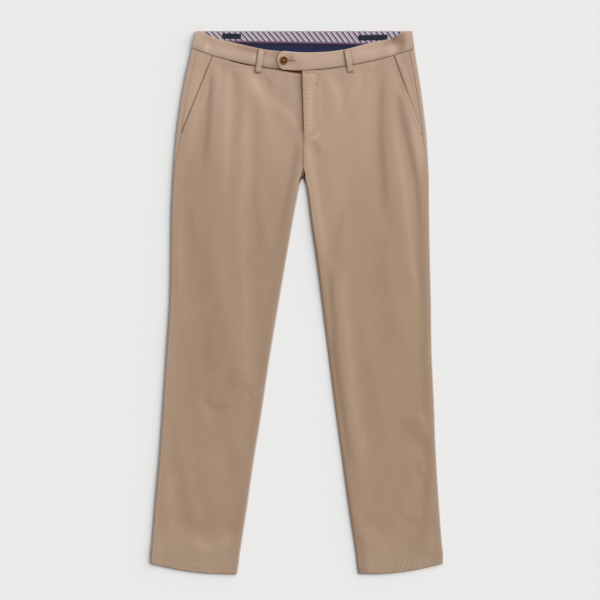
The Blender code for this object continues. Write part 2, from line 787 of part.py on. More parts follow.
def waistband(half: int) -> bpy.types.Object:
    """One half of the band: back run, side fold and front run, with the tab on the left."""
    shares = (0.0, 0.25, 0.5, 0.75, 1.0)
    front = band_front(half)
    radius = (BAND_FOLD_Z - BAND_UNDER_Z) / 2
    seat = UPPER[0]
    fold_seam, fold_top = front[0]
    fold_seam = Vector((fold_seam.x, seat.side_y + GAP + 0.1, 0))
    outer = []
    inner = []
    for share in shares:
        edge = fold_seam.lerp(Vector((fold_top.x, fold_top.y, 0)), share)
        start_y = seat.seat_y + GAP + 0.1
        start_y += (BAND_BACK_TOP_Y - start_y) * share
        start = Vector((CENTRE_BACK_X + half * GAP / 2, start_y, BAND_UNDER_Z))
        end = Vector((edge.x - half * radius, edge.y, BAND_UNDER_Z))
        line = [
            (start.lerp(end, step / 3), Vector((0, 0, 1)))
            for step in range(3)
        ]
        for step in range(5):
            turn = math.pi * step / 4
            inward = Vector((-half * math.sin(turn), 0, math.cos(turn)))
            centre = Vector((edge.x - half * radius, edge.y, BAND_UNDER_Z + radius))
            line.append((centre - inward * radius, inward))
        run = front[1:] + (tab_end(front[-1]) if half == WEARER_LEFT else [])
        for seam, top in run:
            point = seam.lerp(top, share)
            point.z += BAND_CROWN * math.sin(math.pi * share)
            line.append((point, Vector((0, 0, -1))))
        outer.extend(point for point, _ in line)
        inner.extend(point + inward * BAND_WALL for point, inward in line)
    side = "right" if half == WEARER_RIGHT else "left"
    faces = grid_faces(len(shares), len(outer) // len(shares))
    band = solid_wall(f"waistband_{side}", faces, outer, inner, TWILL)
    if half == WEARER_LEFT:
        cut_buttonhole(band)
    return band


def block(name: str, x: tuple, y: tuple, z: tuple, finish: tuple) -> bpy.types.Object:
    """A flat strip between two heights."""
    corners = [Vector((at_x, at_y, z[1])) for at_y in y for at_x in x]
    return solid_wall(name, [[0, 1, 3, 2]], corners, dropped(corners, z[1] - z[0]), finish)


def cut_buttonhole(band: bpy.types.Object) -> None:
    """Cut the buttonhole's slit through the tab."""
    slit_y = (BUTTONHOLE_Y - BUTTONHOLE_WIDTH / 2, BUTTONHOLE_Y + BUTTONHOLE_WIDTH / 2)
    slit = block("buttonhole_slit", BUTTONHOLE_X, slit_y, BUTTONHOLE_Z, TWILL)
    slit.hide_render = True
    slit.display_type = "WIRE"
    cut = band.modifiers.new("buttonhole", "BOOLEAN")
    cut.object = slit


def facing_foot_y(x: float) -> float:
    """Lower edge of the striped facing at x."""
    share = (x - FACING_X[0]) / (FACING_X[1] - FACING_X[0])
    return FACING_FOOT_Y[0] + (FACING_FOOT_Y[1] - FACING_FOOT_Y[0]) * share


def strip_along_band(name: str, span: tuple, edges: Callable, finish: tuple) -> bpy.types.Object:
    """A flat strip across the inside of the back band, between two lines."""
    steps = 8
    top_z = FACING_Z + TRIM_WALL
    outer = []
    for step in range(steps + 1):
        x = span[0] + (span[1] - span[0]) * step / steps
        for y in edges(x):
            outer.append(Vector((x, y, top_z)))
    return solid_wall(name, grid_faces(steps + 1, 2), outer, dropped(outer, TRIM_WALL), finish)


def band_facing() -> bpy.types.Object:
    """The striped facing inside the back of the band."""
    return strip_along_band(
        "band_facing", FACING_X, lambda x: (FACING_TOP_Y, facing_foot_y(x)), STRIPE
    )


def band_curtain() -> bpy.types.Object:
    """The dark curtain that hangs below the piping."""
    start = PIPING_WIDTH + 2 * GAP
    return strip_along_band(
        "band_curtain", CURTAIN_X, lambda x: (facing_foot_y(x) - start, CURTAIN_FOOT_Y), CURTAIN
    )


def facing_piping() -> bpy.types.Object:
    """The rounded piping between the facing and the curtain."""
    steps = 8
    sides = 6
    outer = []
    inner = []
    for step in range(steps + 1):
        x = FACING_X[0] + (FACING_X[1] - FACING_X[0]) * step / steps
        centre_y = facing_foot_y(x) - GAP - PIPING_WIDTH / 2
        for side in range(sides + 1):
            turn = math.pi * side / sides
            y = centre_y + PIPING_WIDTH / 2 * math.cos(turn)
            outer.append(Vector((x, y, FACING_Z + 0.2 + (PIPING_HEIGHT - 0.2) * math.sin(turn))))
            inner.append(Vector((x, y, FACING_Z)))
    return solid_wall("facing_piping", grid_faces(steps + 1, sides + 1), outer, inner, PIPING)


def woven_label(label: Label) -> bpy.types.Object:
    """A bare woven label, lying on the facing."""
    turn = math.radians(label.turn)
    along = Vector((math.cos(turn), math.sin(turn), 0)) * label.length / 2
    up = Vector((-math.sin(turn), math.cos(turn), 0)) * label.height / 2
    top_z = FACING_Z + 2 * TRIM_WALL + GAP
    centre = Vector((label.centre_x, label.centre_y, top_z))
    corners = [centre + along * sign_x + up * sign_y for sign_y in (-1, 1) for sign_x in (-1, 1)]
    faces = [[0, 1, 3, 2]]
    return solid_wall(label.node, faces, corners, dropped(corners, TRIM_WALL), WOVEN_LABEL)


def level_near(half: int, y: float) -> Level:
    """The level of a half whose middle lies nearest to y."""
    return min(levels(half), key=lambda level: abs(level.across(0.5).y - y))


def front_loop(loop: FrontLoop) -> bpy.types.Object:
    """A belt loop that bridges the band, sewn at the band's top and below the seam."""
    half = WEARER_RIGHT if loop.top_x < CENTRE_BACK_X else WEARER_LEFT
    top = Vector((loop.top_x, loop.top_y, 0))
    foot = Vector((loop.foot_x, loop.foot_y, 0))
    across = Vector((top.y - foot.y, foot.x - top.x, 0)).normalized() * LOOP_WIDTH / 2
    ends = band_front(half)
    seam, edge = min(ends, key=lambda pair: abs(pair[1].x - loop.top_x))
    panel = top_height(half, level_near(half, foot.y), foot.to_2d())
    steps = 9
    outer = []
    for step in range(steps + 1):
        share = step / steps
        point = top.lerp(foot, share)
        start = max(edge.z, seam.z)
        lift = start + (panel - start) * ease(0.45, 1.0, share) + LOOP_CLEAR
        lift += LOOP_RISE * math.sin(math.pi * share) ** 0.8
        point.z = lift + LOOP_WALL
        outer.extend((point - across, point + across))
    inner = dropped(outer, LOOP_WALL)
    return solid_wall(loop.node, grid_faces(steps + 1, 2), outer, inner, TWILL)


def back_loop(name: str, x: float) -> bpy.types.Object:
    """A belt loop on the back, pressed flat between the band and the surface."""
    span = (x - LOOP_WIDTH / 2, x + LOOP_WIDTH / 2)
    return block(name, span, BACK_LOOP_Y, (0.0, BACK_LOOP_WALL), TWILL)


def waist_button() -> bpy.types.Object:
    """A round button with a rim, a sunk middle and four thread holes."""
    seat = BAND_LEFT[-1].seam_z + BAND_CROWN + GAP
    form = bmesh.new()
    rings = []
    for radius, height in BUTTON_PROFILE:
        ring = []
        for side in range(BUTTON_SIDES):
            turn = 2 * math.pi * side / BUTTON_SIDES
            x = BUTTON_X + radius * math.cos(turn)
            y = BUTTON_Y + radius * math.sin(turn)
            ring.append(form.verts.new(metres(Vector((x, y, seat + height)))))
        rings.append(ring)
    for lower, upper in zip(rings, rings[1:]):
        for side in range(BUTTON_SIDES):
            after = (side + 1) % BUTTON_SIDES
            form.faces.new((lower[side], lower[after], upper[after], upper[side]))
    form.faces.new(list(reversed(rings[0])))
    form.faces.new(rings[-1])
    mesh = bpy.data.meshes.new("waist_button")
    form.to_mesh(mesh)
    form.free()
    button = link("waist_button", mesh, HORN)
    for index in range(4):
        turn = math.pi / 4 + math.pi / 2 * index
        x = BUTTON_X + THREAD_HOLE_OFFSET * math.cos(turn) * math.sqrt(2)
        y = BUTTON_Y + THREAD_HOLE_OFFSET * math.sin(turn) * math.sqrt(2)
        place = metres(Vector((x, y, seat + 1.5)))
        bpy.ops.mesh.primitive_cylinder_add(
            vertices=THREAD_HOLE_SIDES,
            radius=THREAD_HOLE_RADIUS * MM,
            depth=THREAD_HOLE_DEPTH * MM,
            location=place,
        )
        hole = bpy.context.object
        hole.name = f"thread_hole_{index + 1}"
        hole.hide_render = True
        hole.display_type = "WIRE"
        cut = button.modifiers.new(hole.name, "BOOLEAN")
        cut.object = hole
    return button


def clear_scene() -> None:
    """Remove whatever the scene holds."""
    for found in list(bpy.data.objects):
        bpy.data.objects.remove(found, do_unlink=True)


def main() -> None:
    """Build every piece of the trousers."""
    clear_scene()
    for half in (WEARER_RIGHT, WEARER_LEFT):
        back_panel(half)
        front_panel(half)
        pocket_facing(half)
        waistband(half)
    band_facing()
    facing_piping()
    band_curtain()
    for label in LABELS:
        woven_label(label)
    block("fly_shield", SHIELD_X, SHIELD_Y, (SHIELD_Z, SHIELD_Z + FLY_LAYER), TWILL)
    block("fly_zip", ZIP_X, ZIP_Y, (ZIP_Z, ZIP_Z + FLY_LAYER), ZIP_TAPE)
    for loop in FRONT_LOOPS:
        front_loop(loop)
    for name, x in BACK_LOOPS:
        back_loop(name, x)
    waist_button()


main()
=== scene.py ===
"""Dress the laid-out chino trousers: cloth, seams, stitches, trim, floor and light.

Lengths are millimetres until a mesh is made, and meshes are in metres. X runs to
the viewer's right, Y towards the waist and Z up off the surface. "Right" and
"left" are the wearer's, so the right half has the negative X.
"""

import logging
import math
from dataclasses import dataclass, field
from enum import Enum
from typing import Any

import bpy
import numpy as np
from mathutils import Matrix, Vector
from mathutils.bvhtree import BVHTree


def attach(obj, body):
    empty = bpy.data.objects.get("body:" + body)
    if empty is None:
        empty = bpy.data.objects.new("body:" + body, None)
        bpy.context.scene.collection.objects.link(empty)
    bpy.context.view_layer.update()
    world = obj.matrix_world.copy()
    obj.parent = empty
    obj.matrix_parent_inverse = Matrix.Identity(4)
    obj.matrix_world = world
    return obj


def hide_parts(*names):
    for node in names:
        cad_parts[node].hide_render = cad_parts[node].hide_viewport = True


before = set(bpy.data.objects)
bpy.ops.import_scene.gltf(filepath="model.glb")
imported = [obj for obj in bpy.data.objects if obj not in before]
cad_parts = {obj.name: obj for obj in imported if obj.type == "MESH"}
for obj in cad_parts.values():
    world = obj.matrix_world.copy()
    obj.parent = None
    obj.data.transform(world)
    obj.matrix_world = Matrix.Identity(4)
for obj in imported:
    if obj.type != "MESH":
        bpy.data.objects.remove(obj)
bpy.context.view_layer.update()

LOG = logging.getLogger("trousers")
MM = 0.001
TURN = 2 * math.pi
BOX_CENTRE = np.array((-0.1, 0.49, 0.0))

Array = np.ndarray
Piece = bpy.types.Object
Point = tuple[float, float]
Pair = tuple[float, float]
Colour = tuple[float, float, float]


def ease(low: Any, high: Any, value: Any) -> Any:
    """Rise smoothly from 0, where the value is low, to 1, where it is high."""
    share = np.clip((value - low) / (high - low), 0.0, 1.0)
    return share * share * (3 - 2 * share)


def bell(value: Any, reach: Any) -> Any:
    """A soft hump: 1 where the value is 0, and almost gone at twice the reach."""
    return np.exp(-((value / reach) ** 2))


def tapered(share: Array, start: float, end: float) -> Array:
    """Rise from 0 over the start of a line, and fall back to 0 over its end."""
    return ease(0, start, share) * ease(0, end, 1 - share)


def grid(x: Any, y: Any, z: Any) -> Array:
    """Points from rows, columns or grids of X, Y and Z."""
    return np.stack(np.broadcast_arrays(x, y, z), axis=-1)


def rows_around(table: Array, index: int) -> list[Array]:
    """The row before a gap, the two rows at its ends, and the row after."""
    last = len(table) - 1
    return [table[min(max(index + shift, 0), last)] for shift in (-1, 0, 1, 2)]


def curve_between(rows: list[Array], share: float) -> Array:
    """Read a smooth curve through four rows, between the middle two.

    Args:
        rows: the row before, the two rows around, and the row after.
        share: place between the middle rows, from 0 to 1.

    Returns:
        The row at that place.
    """
    before, start, end, after = rows
    rise_in = (end - before) / 2
    rise_out = (after - start) / 2
    squared = share * share
    cubed = squared * share
    return (
        (2 * cubed - 3 * squared + 1) * start
        + (cubed - 2 * squared + share) * rise_in
        + (3 * squared - 2 * cubed) * end
        + (cubed - squared) * rise_out
    )


def smooth_rows(table: Array, steps: int) -> Array:
    """Draw a smooth curve through rows of numbers.

    Args:
        table: one row for each given place.
        steps: how many rows to make for each gap.

    Returns:
        The denser table, with the last row kept.
    """
    dense = []
    for index in range(len(table) - 1):
        around = rows_around(table, index)
        dense.extend(curve_between(around, step / steps) for step in range(steps))
    return np.array([*dense, table[-1]])


def metres(x: float, y: float, z: float) -> tuple[float, float, float]:
    """A place in millimetres as a place in a mesh."""
    return (x - BOX_CENTRE[0]) * MM, (y - BOX_CENTRE[1]) * MM, z * MM


def linked(name: str, data: Any) -> Piece:
    """Put data into the scene.

    Args:
        name: the new object's name.
        data: a mesh, curve, light or camera.

    Returns:
        The new object.
    """
    found = bpy.data.objects.new(name, data)
    bpy.context.scene.collection.objects.link(found)
    return found


def plain_mesh(name: str, points: Any, faces: Any, *finishes: Any) -> bpy.types.Mesh:
    """Make a mesh.

    Args:
        name: its name.
        points: its points in metres.
        faces: its faces' corner numbers.
        finishes: its materials.

    Returns:
        The new mesh.
    """
    mesh = bpy.data.meshes.new(name)
    mesh.from_pydata(points, [], faces)
    for finish in finishes:
        mesh.materials.append(finish)
    return mesh


def baked(found: Piece) -> bpy.types.Mesh:
    """The plain mesh that an object's modifiers or curve make."""
    graph = bpy.context.evaluated_depsgraph_get()
    return bpy.data.meshes.new_from_object(found.evaluated_get(graph))


def settle(found: Piece) -> None:
    """Keep what an object's modifiers make as its own mesh.

    Args:
        found: the object.
    """
    mesh = baked(found)
    found.modifiers.clear()
    found.data = mesh


def carve(found: Piece, cutter: Piece) -> None:
    """Cut a cutter's form out of an object, and remove the cutter.

    Args:
        found: the object to cut.
        cutter: the object whose form is cut away.
    """
    modifier = found.modifiers.new("cut", "BOOLEAN")
    modifier.object = cutter
    modifier.operation = "DIFFERENCE"
    settle(found)
    bpy.data.objects.remove(cutter)


class Half(Enum):
    """The wearer's right or left half; the value is the sign of its X."""

    RIGHT = -1
    LEFT = 1


class Slot(Enum):
    """Names of the material slots."""

    TWILL = "twill"
    STRIPE = "stripe"
    PIPING = "piping"
    CURTAIN = "curtain"
    LABEL = "label"
    ZIP_TAPE = "zip_tape"
    HORN = "horn"


class Value:
    """A shader socket that can be used in sums."""

    def __init__(self, graph: "Graph", socket: Any) -> None:
        """Wrap a socket of a graph."""
        self.graph = graph
        self.socket = socket

    def _result(self, operation: str, first: Any, second: Any = None) -> "Value":
        """Add one Math node to the graph.

        Args:
            operation: what the node does.
            first: its first number or value.
            second: its second one, if it has two.

        Returns:
            The node's result.
        """
        sockets = {0: first} if second is None else {0: first, 1: second}
        node = self.graph.node("ShaderNodeMath", {"operation": operation}, sockets)
        return Value(self.graph, node.outputs[0])

    def __add__(self, other: Any) -> "Value":
        """Add."""
        return self._result("ADD", self, other)

    def __sub__(self, other: Any) -> "Value":
        """Take away."""
        return self._result("SUBTRACT", self, other)

    def __rsub__(self, other: Any) -> "Value":
        """Take from a number."""
        return self._result("SUBTRACT", other, self)

    def __mul__(self, other: Any) -> "Value":
        """Multiply."""
        return self._result("MULTIPLY", self, other)

    __radd__ = __add__
    __rmul__ = __mul__

    def fraction(self) -> "Value":
        """The part after the whole number."""
        return self._result("FRACT", self)

    def wave(self) -> "Value":
        """The value as the turn of a wave between -1 and 1."""
        return self._result("SINE", self)

    def distance(self, centre: float) -> "Value":
        """Distance from a number."""
        return self._result("ABSOLUTE", self - centre)

    def above(self, low: float, high: float) -> "Value":
        """Rise smoothly from 0 at low to 1 at high.

        Args:
            low: where the rise starts.
            high: where it ends.

        Returns:
            A share from 0 to 1.
        """
        node = self.graph.node(
            "ShaderNodeMapRange",
            {"interpolation_type": "SMOOTHSTEP"},
            {"Value": self, "From Min": low, "From Max": high},
        )
        return Value(self.graph, node.outputs[0])


def feed(tree: Any, socket: Any, given: Any) -> None:
    """Set a socket to a number or colour, or link it to another.

    Args:
        tree: the node tree.
        socket: the socket to feed.
        given: a number, a colour, a socket or a Value.
    """
    if isinstance(given, Value):
        given = given.socket
    if isinstance(given, bpy.types.NodeSocket):
        tree.links.new(given, socket)
    else:
        socket.default_value = given


def add_node(tree: Any, kind: str, settings: dict[str, Any], sockets: dict[Any, Any]) -> Any:
    """Add a node to a tree.

    Args:
        tree: the node tree.
        kind: the node's type.
        settings: its properties, set before its sockets.
        sockets: values or links by socket name or number.

    Returns:
        The new node.
    """
    made = tree.nodes.new(kind)
    for key, setting in settings.items():
        setattr(made, key, setting)
    for key, given in sockets.items():
        feed(tree, made.inputs[key], given)
    return made


class Graph:
    """The nodes of one Principled material."""

    def __init__(self, name: str) -> None:
        """Make the material and find its shader.

        Args:
            name: the material's name.
        """
        self.material = bpy.data.materials.new(name)
        self.material.use_nodes = True
        self.tree = self.material.node_tree
        self.shader = self.tree.nodes["Principled BSDF"]

    def node(self, kind: str, settings: dict[str, Any], sockets: dict[Any, Any]) -> Any:
        """Add a node to this material."""
        return add_node(self.tree, kind, settings, sockets)

    def set(self, **inputs: Any) -> None:
        """Set the shader's sockets.

        Args:
            inputs: values or links by socket name, with underscores for its spaces.
        """
        for key, given in inputs.items():
            label = key.replace("_", " ").title().replace("Ior", "IOR")
            feed(self.tree, self.shader.inputs[label], given)

    def flat(self, which: str = "UV") -> Any:
        """The UV or Object coordinates' socket."""
        return self.node("ShaderNodeTexCoord", {}, {}).outputs[which]

    def painted(self, name: str) -> Value:
        """A number kept on the mesh's points, or 0 where a mesh has none."""
        node = self.node("ShaderNodeAttribute", {"attribute_name": name}, {})
        return Value(self, node.outputs["Fac"])

    def parts(self, vector: Any) -> tuple[Value, Value, Value]:
        """Split a vector into its three values."""
        split = self.node("ShaderNodeSeparateXYZ", {}, {0: vector})
        return tuple(Value(self, output) for output in split.outputs)

    def stretched(self, vector: Any, sizes: tuple[float, float, float]) -> Any:
        """Coordinates scaled by a different number along each axis."""
        settings = {"operation": "MULTIPLY"}
        return self.node("ShaderNodeVectorMath", settings, {0: vector, 1: sizes}).outputs[0]

    def noise(self, vector: Any, scale: float, detail: float = 2.0) -> Value:
        """Cloudy variation from 0 to 1."""
        sockets = {"Vector": vector, "Scale": scale, "Detail": detail}
        return Value(self, self.node("ShaderNodeTexNoise", {}, sockets).outputs[0])

    def mix(self, share: Any, first: Any, second: Any) -> Any:
        """Blend two colours.

        Args:
            share: how much of the second one there is.
            first: a plain colour or a socket.
            second: a plain colour or a socket.

        Returns:
            The blend's socket.
        """
        settings = {"data_type": "RGBA", "clamp_factor": False}
        node = self.node("ShaderNodeMix", settings, {0: share})
        for place, given in ((6, first), (7, second)):
            colour = (*given, 1.0) if isinstance(given, tuple) else given
            feed(self.tree, node.inputs[place], colour)
        return node.outputs[2]

    def bump(self, height: Value, strength: float, depth: float) -> Any:
        """Raise the surface by a height from 0 to 1, times a depth in metres."""
        sockets = {"Strength": strength, "Distance": depth, "Height": height}
        return self.node("ShaderNodeBump", {}, sockets).outputs[0]


@dataclass(frozen=True)
class Twill:
    """Brushed cotton twill: fine diagonal lines, mottled dye and a soft nap, with painted light: paler
    towards the waist, painted sheen at folds and painted shade.
    """

    name: str = "khaki_twill"
    light: Colour = (0.406, 0.278, 0.191)
    dark: Colour = (0.354, 0.241, 0.164)
    top_light: Colour = (0.450, 0.315, 0.233)
    crease_shade: Colour = (0.135, 0.058, 0.024)
    sheen_and_nap_colour: Colour = (0.400, 0.335, 0.292)
    top_light_span: Pair = (0.02, 0.50)
    line_pitch: float = 0.0011
    line_slant: float = 0.55
    relief: float = 0.00022
    roughness: float = 0.86

    def material(self) -> bpy.types.Material:
        """Make the material.

        Returns:
            The new material.
        """
        graph = Graph(self.name)
        flat = graph.flat()
        u, v, _ = graph.parts(flat)
        lines = ((u * self.line_slant + v) * (TURN / self.line_pitch)).wave() * 0.5 + 0.5
        cloud = graph.noise(flat, 16.0, 2.0)
        slub = graph.noise(flat, 420.0, 3.0)
        yarn = graph.noise(flat, 1500.0, 1.0)
        weft = graph.noise(graph.stretched(flat, (45.0, 330.0, 1.0)), 1.0, 2.0)
        warp = graph.noise(graph.stretched(flat, (300.0, 30.0, 1.0)), 1.0, 2.0)
        shade = cloud * 0.15 + slub * 0.25 + yarn * 0.1 + weft * 0.18 + warp * 0.18
        _, height, _ = graph.parts(graph.flat("Object"))
        dye_and_light = graph.mix(shade.above(0.38, 0.62), self.dark, self.light)
        # Painted light: the cloth grows paler towards the waist, as if lit more brightly there.
        dye_and_light = graph.mix(height.above(*self.top_light_span), dye_and_light, self.top_light)
        # Painted sheen where folds turn, and a paler nap, from each point's share.
        dye_and_light = graph.mix(graph.painted("sheen_and_nap"), dye_and_light, self.sheen_and_nap_colour)
        relief = lines * 0.4 + yarn * 0.4 + slub * 0.7 + weft * 0.7
        # Painted shade in seams, gaps and shadows from each point's share; a share below 0 paints light.
        graph.set(
            base_color=graph.mix(graph.painted("painted_shade"), dye_and_light, self.crease_shade),
            roughness=self.roughness,
            specular_ior_level=0.15,
            sheen_weight=0.10,
            sheen_roughness=0.4,
            sheen_tint=(0.80, 0.76, 0.72, 1.0),
            normal=graph.bump(relief, 0.5, self.relief),
        )
        return graph.material


@dataclass(frozen=True)
class DiagonalStripe:
    """Pale lavender cotton with thin navy lines that lean down to the right."""

    name: str = "striped_facing"
    pitch: float = 0.0119
    dot_pitch: float = 0.0021
    ground: Colour = (0.385, 0.335, 0.395)
    pale: Colour = (0.60, 0.55, 0.605)
    navy: Colour = (0.014, 0.011, 0.035)
    wine: Colour = (0.19, 0.10, 0.15)

    def material(self) -> bpy.types.Material:
        """Make the material.

        Returns:
            The new material.
        """
        graph = Graph(self.name)
        flat = graph.flat()
        x, y, _ = graph.parts(flat)
        across = ((x + y * 0.8) * (1 / self.pitch)).fraction()
        dots = ((y * (TURN / self.dot_pitch)).wave() * 0.5 + 0.5).above(0.3, 0.7)
        navy = 1 - across.distance(0.5).above(0.095, 0.135)
        wine = 1 - across.distance(0.64).above(0.03, 0.06)
        pale = 1 - across.distance(0.86).above(0.08, 0.12)
        dotted = (1 - across.distance(0.10).above(0.03, 0.06)) * dots
        colour = graph.mix(pale, self.ground, self.pale)
        colour = graph.mix(dotted * 0.55, colour, self.wine)
        colour = graph.mix(wine * 0.7, colour, self.wine)
        graph.set(
            base_color=graph.mix(navy * 0.95, colour, self.navy),
            roughness=0.75,
            specular_ior_level=0.2,
            normal=graph.bump(graph.noise(flat, 1800.0), 0.4, 0.0001),
        )
        return graph.material


@dataclass(frozen=True)
class WovenCloth:
    """A plain woven cloth with a fine crossed weave and a little variation."""

    name: str
    light: Colour
    dark: Colour
    pitch: float = 0.0009
    roughness: float = 0.8
    shaded: Colour = (0.016, 0.013, 0.040)

    def material(self) -> bpy.types.Material:
        """Make the material.

        Returns:
            The new material.
        """
        graph = Graph(self.name)
        flat = graph.flat()
        u, v, _ = graph.parts(flat)
        turn = TURN / self.pitch
        weave = (u * turn).wave() * (v * turn).wave() * 0.5 + 0.5
        shade = graph.noise(flat, 300.0, 3.0) * 0.6 + weave * 0.4
        woven = graph.mix(shade.above(0.25, 0.75), self.dark, self.light)
        # Painted shade from each point's share, towards the shaded colour.
        graph.set(
            base_color=graph.mix(graph.painted("painted_shade"), woven, self.shaded),
            roughness=self.roughness,
            specular_ior_level=0.2,
            normal=graph.bump(weave, 0.5, 0.0002),
        )
        return graph.material


@dataclass(frozen=True)
class TwistedPiping:
    """Piping of two twisted colours."""

    name: str = "twisted_piping"
    pitch: float = 0.0048
    navy: Colour = (0.060, 0.036, 0.090)
    wine: Colour = (0.30, 0.15, 0.22)

    def material(self) -> bpy.types.Material:
        """Make the material.

        Returns:
            The new material.
        """
        graph = Graph(self.name)
        u, v, _ = graph.parts(graph.flat())
        twist = ((u + v * 0.9) * (TURN / self.pitch)).wave() * 0.5 + 0.5
        graph.set(
            base_color=graph.mix(twist.above(0.35, 0.75), self.navy, self.wine),
            roughness=0.7,
            normal=graph.bump(twist, 0.6, 0.0004),
        )
        return graph.material


@dataclass(frozen=True)
class Horn:
    """Polished brown horn effect: amber clouds in dark brown."""

    name: str
    dark: Colour
    amber: Colour

    def material(self) -> bpy.types.Material:
        """Make the material.

        Returns:
            The new material.
        """
        graph = Graph(self.name)
        place = graph.flat("Object")
        cloud = graph.noise(place, 170.0, 3.0).above(0.38, 0.66)
        graph.set(
            base_color=graph.mix(cloud, self.dark, self.amber),
            roughness=0.5,
            specular_ior_level=0.12,
            normal=graph.bump(graph.noise(place, 900.0), 0.15, 0.0001),
        )
        return graph.material


@dataclass(frozen=True)
class Thread:
    """Sewing thread, with the twist of its strands."""

    name: str
    colour: Colour
    roughness: float = 0.6

    def material(self) -> bpy.types.Material:
        """Make the material.

        Returns:
            The new material.
        """
        graph = Graph(self.name)
        strands = graph.noise(graph.flat("Object"), 2600.0, 1.0)
        darker = tuple(part * 0.7 for part in self.colour)
        graph.set(
            base_color=graph.mix(strands.above(0.35, 0.65), darker, self.colour),
            roughness=self.roughness,
            normal=graph.bump(strands, 0.3, 0.0001),
        )
        return graph.material


@dataclass(frozen=True)
class Paper:
    """The pale matt surface that the trousers lie on."""

    name: str = "pale_surface"
    light: Colour = (0.798, 0.802, 0.808)
    dark: Colour = (0.790, 0.794, 0.800)

    def material(self) -> bpy.types.Material:
        """Make the material.

        Returns:
            The new material.
        """
        graph = Graph(self.name)
        cloud = graph.noise(graph.flat("Object"), 3.0)
        graph.set(base_color=graph.mix(cloud, self.dark, self.light), roughness=0.95)
        return graph.material


@dataclass(frozen=True)
class Line:
    """A smooth line on the flat, through a few points."""

    points: tuple[Point, ...]
    parts: int = 5

    def sampled(self, parts: int | None = None) -> Array:
        """The line as close points."""
        return smooth_rows(np.array(self.points, float), parts or self.parts)

    def nearest(self, x: Array, y: Array) -> tuple[Array, Array, float]:
        """Measure points against the line.

        Args:
            x: the points' X.
            y: the points' Y.

        Returns:
            The signed distance, the run along the line, and the line's length.
        """
        path = self.sampled()
        gap = np.full(x.shape, 1e9)
        run = np.zeros(x.shape)
        side = np.ones(x.shape)
        start = 0.0
        for first, second in zip(path, path[1:]):
            step = second - first
            length = float(np.hypot(*step))
            from_x = x - first[0]
            from_y = y - first[1]
            share = np.clip((from_x * step[0] + from_y * step[1]) / length**2, 0, 1)
            away = np.hypot(from_x - step[0] * share, from_y - step[1] * share)
            closer = away < gap
            gap = np.where(closer, away, gap)
            run = np.where(closer, start + share * length, run)
            side = np.where(closer, np.sign(step[0] * from_y - step[1] * from_x), side)
            start += length
        return gap * side, run, start


@dataclass(frozen=True)
class Crease:
    """A soft form on the cloth along a line; each kind has its own cross section."""

    name: str
    points: tuple[Point, ...]
    half_width: float

    def border(self) -> float:
        """Distance from the line past which the form is gone."""
        return 3 * self.half_width

    def section(self, gap: Array, run: Array, length: float) -> Array:
        """The form's height, from the signed gap to its line and the run along it."""
        raise NotImplementedError

    def lift(self, x: Array, y: Array) -> Array:
        """How far the form lifts the cloth.

        Args:
            x: the points' X.
            y: the points' Y.

        Returns:
            The lift at each point.
        """
        line = Line(self.points)
        path = line.sampled()
        low = path.min(0) - self.border()
        high = path.max(0) + self.border()
        near = (x > low[0]) & (x < high[0]) & (y > low[1]) & (y < high[1])
        total = np.zeros(x.shape)
        if near.any():
            total[near] = self.section(*line.nearest(x[near], y[near]))
        return total


@dataclass(frozen=True)
class Fold(Crease):
    """A soft crease whose flank faces the light, or away where the lean is negative.

    The cloth steps down across the line, and then comes slowly back on both sides.
    """

    lean: float
    tapers: Pair = (0.3, 0.3)
    slope: float = 0.17
    spread: float = 2.6

    def border(self) -> float:
        """Distance from the line past which the fold is gone."""
        return 2.2 * self.spread * self.half_width

    def section(self, gap: Array, run: Array, length: float) -> Array:
        """The fold's height across its line.

        Args:
            gap: signed distance from the line.
            run: distance along it.
            length: the line's length.

        Returns:
            The height at each point.
        """
        ends = tapered(run / length, *self.tapers)
        across = gap / self.half_width
        step = np.tanh(across) * bell(across, self.spread)
        return -self.slope * self.half_width * self.lean * ends * step


@dataclass(frozen=True)
class Ridge(Crease):
    """A soft ridge, or a channel where the rise is negative."""

    rise: float
    taper: float = 0.02

    def section(self, gap: Array, run: Array, length: float) -> Array:
        """The ridge's height across its line."""
        ends = tapered(run / length, self.taper, self.taper)
        return self.rise * ends * bell(gap, self.half_width)


@dataclass(frozen=True)
class Pucker(Crease):
    """Small uneven ripples across a seam."""

    pitch: float
    rise: float
    lean: float = 0.0
    end_taper: float = 0.1

    def section(self, gap: Array, run: Array, length: float) -> Array:
        """The ripples' height.

        Args:
            gap: signed distance from the line.
            run: distance along it.
            length: the line's length.

        Returns:
            The height at each point.
        """
        ends = tapered(run / length, self.end_taper, self.end_taper)
        phase = (run + self.lean * gap) / self.pitch * TURN
        phase += 1.4 * np.sin(run / 29.0 + 0.7) + 0.9 * np.sin(run / 13.0)
        size = 0.65 + 0.35 * np.sin(run / 19.0 + 1.9)
        return self.rise * ends * size * np.cos(phase) * bell(gap, self.half_width)


@dataclass(frozen=True)
class Unevenness:
    """Slow shallow waves all over the cloth, from a fixed seed."""

    seed: int = 11
    waves: int = 18
    most_turn: float = 0.55
    shortest: float = 34.0
    longest: float = 130.0
    rise: float = 0.05

    def lift(self, x: Array, y: Array) -> Array:
        """How far the waves lift the cloth.

        Args:
            x: the points' X.
            y: the points' Y.

        Returns:
            The lift at each point.
        """
        picker = np.random.default_rng(self.seed)
        total = np.zeros(x.shape)
        for _ in range(self.waves):
            turn = picker.uniform(-self.most_turn, self.most_turn)
            length = picker.uniform(self.shortest, self.longest)
            start = picker.uniform(0, TURN)
            along = x * math.cos(turn) + y * math.sin(turn)
            total += self.rise * np.sin(along / length * TURN + start)
        return total


